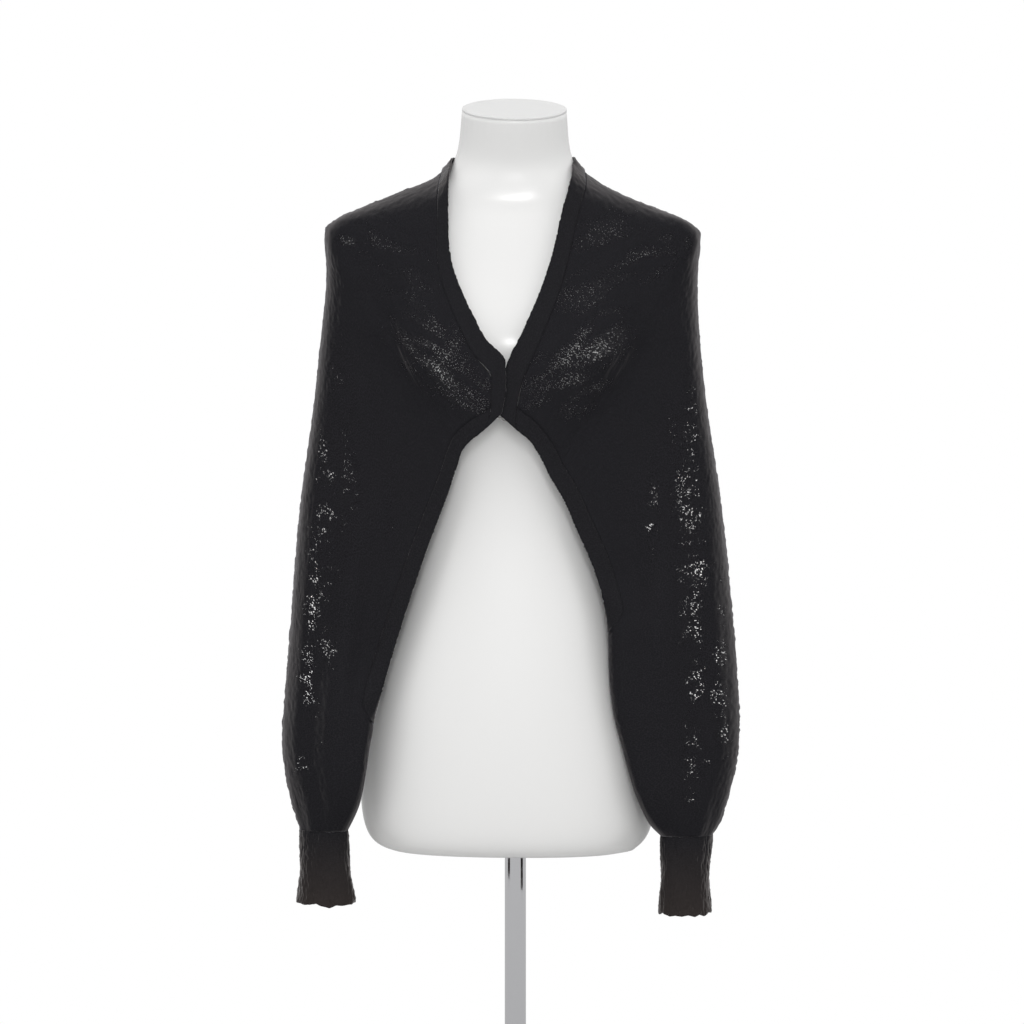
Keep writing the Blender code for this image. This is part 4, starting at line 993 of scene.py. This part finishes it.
cuffs = {
    # distance below the sleeve, the outer edge's x and y, the inner edge's, half the depth
    "right": [
        (0, -221, -35, -172, -50, 22),
        (36, -220.5, -36, -170, -49, 22),
        (75, -223.5, -38, -165, -46, 24),
    ],
    "left": [
        (0, 202, -36, 149, -52, 22),
        (36, 198.5, -37, 149.5, -51, 22),
        (80, 200, -39, 147.5, -48, 24),
    ],
    "top": {"right": 816.0, "left": 811.0},
    "ribs": 20,
    "ribHeight": 0.12,
    "lump": 0.6,  # how uneven the tube is
    "lumpDrop": 9.0,
    "radius": 25.0,  # of a tube on which ribs and lumps have just these heights
    "around": 160,
    "rows": 40,
    "thickness": 1.8,
    "hemWave": 1.1,
    "hemWaves": 25,
    "nub": 0.6,
}


def makeCuff(side, seed):
    levels = np.array(cuffs[side], float)
    drops = np.linspace(0, levels[-1, 0], cuffs["rows"] + 1)
    rows = smoothThrough(levels[:, 0], levels[:, 1:], drops)
    angles = np.linspace(0, 2 * np.pi, cuffs["around"] + 1)
    draw = np.random.default_rng(seed)
    points = cuffs["hemWaves"] + 1
    wave = np.interp(angles, np.linspace(0, 2 * np.pi, points), draw.normal(0, 1, points))
    wave[-1] = wave[0]
    grid = np.empty((len(drops), len(angles), 3))
    for i, (drop, (outerX, outerY, innerX, innerY, halfDepth)) in enumerate(zip(drops, rows)):
        middle = np.array([(outerX + innerX) / 2, (outerY + innerY) / 2])
        arm = np.array([outerX, outerY]) - middle
        rib = 1 + cuffs["ribHeight"] * np.cos(angles * cuffs["ribs"]) / cuffs["radius"]
        turns = drop / cuffs["lumpDrop"] + 3 * np.sin(angles * 2)
        lump = 1 + cuffs["lump"] / cuffs["radius"] * np.sin(turns)
        ring = middle + np.outer(np.cos(angles) * rib * lump, arm)
        ring[:, 1] += halfDepth * np.sin(angles) * rib * lump
        low = (drop / drops[-1]) ** 3
        grid[i, :, :2] = ring
        grid[i, :, 2] = cuffs["top"][side] - drop + wave * cuffs["hemWave"] * low
    nubby = yarnNubs(grid, cuffs["nub"], seed)
    nubby[:, -1] = nubby[:, 0]
    piece = clothMesh(f"cuff_{side}_knit", nubby, {}, cuffs["thickness"], closeRound=True)
    handInSheet(piece, "rib_knit", f"cuff_{side}")


skin = formSkin()
frontSeeds = {"right": 10, "left": 20}
backs = {}
for side, seed in frontSeeds.items():
    front, back = Panel(side, True), Panel(side, False)
    front.draped()
    back.draped()
    makeFront(side, front, seed)
    makeHemBand(side, "front", front, garment["frontBandRows"], seed + 1)
    makeHemBand(side, "back", back, 0, seed + 2)
    makeNeckBand(side, front, back, seed + 3)
    makeCuff(side, seed + 4)
    backs[side] = back
makeBack(backs)
print("cardigan made")

# ---- form, stand and fastening
formLook = {
    "capSink": 1.7,
    "joined": 1e-5,
    "bend": math.radians(40),  # how far two triangles may bend or skew to become one quad
    "skew": math.radians(60),
    "cuts": 3,
    "eased": (792.0, 1528.0),  # the heights between which the facets are made round
    "easeRounds": 24,
    "easing": 0.5,
}


def makeRound(name, node, slot, sink=0.0):
    # a CAD solid's skin, joined up and made round; `sink` closes the gap below it
    bm = bmesh.new()
    bm.from_mesh(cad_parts[node].data)
    bmesh.ops.remove_doubles(bm, verts=bm.verts, dist=formLook["joined"])
    bmesh.ops.translate(bm, verts=bm.verts, vec=(0, 0, -sink * mm))
    bmesh.ops.join_triangles(
        bm,
        faces=bm.faces,
        angle_face_threshold=formLook["bend"],
        angle_shape_threshold=formLook["skew"],
    )
    bmesh.ops.subdivide_edges(bm, edges=bm.edges, cuts=formLook["cuts"], use_grid_fill=True)
    low, high = formLook["eased"]
    smooth = [v for v in bm.verts if low * mm < v.co.z < high * mm]
    axes = {"use_axis_x": True, "use_axis_y": True, "use_axis_z": True}
    for _ in range(formLook["easeRounds"]):
        bmesh.ops.smooth_vert(bm, verts=smooth, factor=formLook["easing"], **axes)
    made = bpy.data.meshes.new(name)
    bm.to_mesh(made)
    bm.free()
    made.shade_smooth()
    handIn(linked(name, made), slot, node)


makeRound("torso", "form_torso", "form_gloss")
makeRound("neckCap", "form_neck_cap", "form_cap", formLook["capSink"])
for node in ("stand_pole", "stand_base"):
    paint(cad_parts[node], "stand_chrome")
for node in ("hook", "eye"):
    paint(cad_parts[node], "hook_wire")
print("form and stand finished")


# ---- studio
studio = {
    "floor": (1.6, 96, -0.001),  # radius, sides and level
    "floorColour": (0.6, 0.6, 0.595),
    "floorRoughness": 0.8,
    "backdrop": 1.0,
    "fill": (0.42, 0.90),  # from below and from above
    "fillTurns": (-0.5, 0.6),  # the directions' Z at which it becomes one or the other
    # Columns: name, place, target, diameter, watts, spread in degrees, whether the gloss shows it.
    "lights": [
        ("key", (0.06, -2.6, 2.3), (0, 0, 1.25), 0.16, 3.0, 120, True),
        ("front", (0, -3.3, 1.7), (0, 0, 1.22), 2.0, 1.6, 30, False),
        ("left", (-2.3, -2.3, 1.6), (0, 0, 1.18), 2.0, 0.3, 30, False),
        ("right", (2.3, -2.3, 1.6), (0, 0, 1.18), 2.0, 0.3, 30, False),
    ],
}
white = (1, 1, 1, 1)


def makeFloor():
    bm = bmesh.new()
    radius, sides, level = studio["floor"]
    bmesh.ops.create_circle(bm, cap_ends=True, segments=sides, radius=radius)
    bmesh.ops.translate(bm, verts=bm.verts, vec=(0, 0, level))
    made = bpy.data.meshes.new("floor")
    bm.to_mesh(made)
    bm.free()
    pale, _, _ = newMaterial("paleFloor", studio["floorColour"], studio["floorRoughness"])
    made.materials.append(pale)
    linked("floor", made)


def makeWorld():
    # the camera sees a white backdrop, everything else the fill light
    world = bpy.data.worlds.new("studio")
    bpy.context.scene.world = world
    world.use_nodes = True
    nodes = world.node_tree.nodes
    w = Wires(world.node_tree)
    direction = w.add("ShaderNodeSeparateXYZ")
    w.join(w.place("Generated"), direction.inputs[0])
    strength = w.ramp(direction.outputs["Z"], *studio["fillTurns"], *studio["fill"])
    fill = w.feed(nodes["Background"], Color=white, Strength=strength)
    backdrop = w.feed(w.add("ShaderNodeBackground"), Color=white, Strength=studio["backdrop"])
    mix = w.add("ShaderNodeMixShader")
    w.join(w.add("ShaderNodeLightPath").outputs["Is Camera Ray"], mix.inputs[0])
    w.join(fill.outputs[0], mix.inputs[1])
    w.join(backdrop.outputs[0], mix.inputs[2])
    w.join(mix.outputs[0], nodes["World Output"].inputs["Surface"])


def addLight(name, place, target, size, power, spread, mirrored):
    data = bpy.data.lights.new(name, "AREA")
    data.shape = "DISK"
    data.size = size
    data.energy = power
    data.spread = math.radians(spread)
    lamp = linked(name, data)
    lamp.location = place
    lamp.visible_glossy = mirrored
    lamp.rotation_euler = (Vector(target) - Vector(place)).to_track_quat("-Z", "Y").to_euler()


def addCamera():
    data = bpy.data.cameras.new("camera")
    data.sensor_width = photo["sensorWidth"]
    data.lens = data.sensor_width * -photo["eye"][1] / photo["widthAtPole"]
    camera = linked("camera", data)
    camera.location = Vector(photo["eye"]) * mm
    camera.rotation_euler = (math.pi / 2, 0, 0)
    bpy.context.scene.camera = camera


makeFloor()
makeWorld()
for light in studio["lights"]:
    addLight(*light)
addCamera()
bpy.context.scene.view_settings.view_transform = "Standard"
print("studio lit")
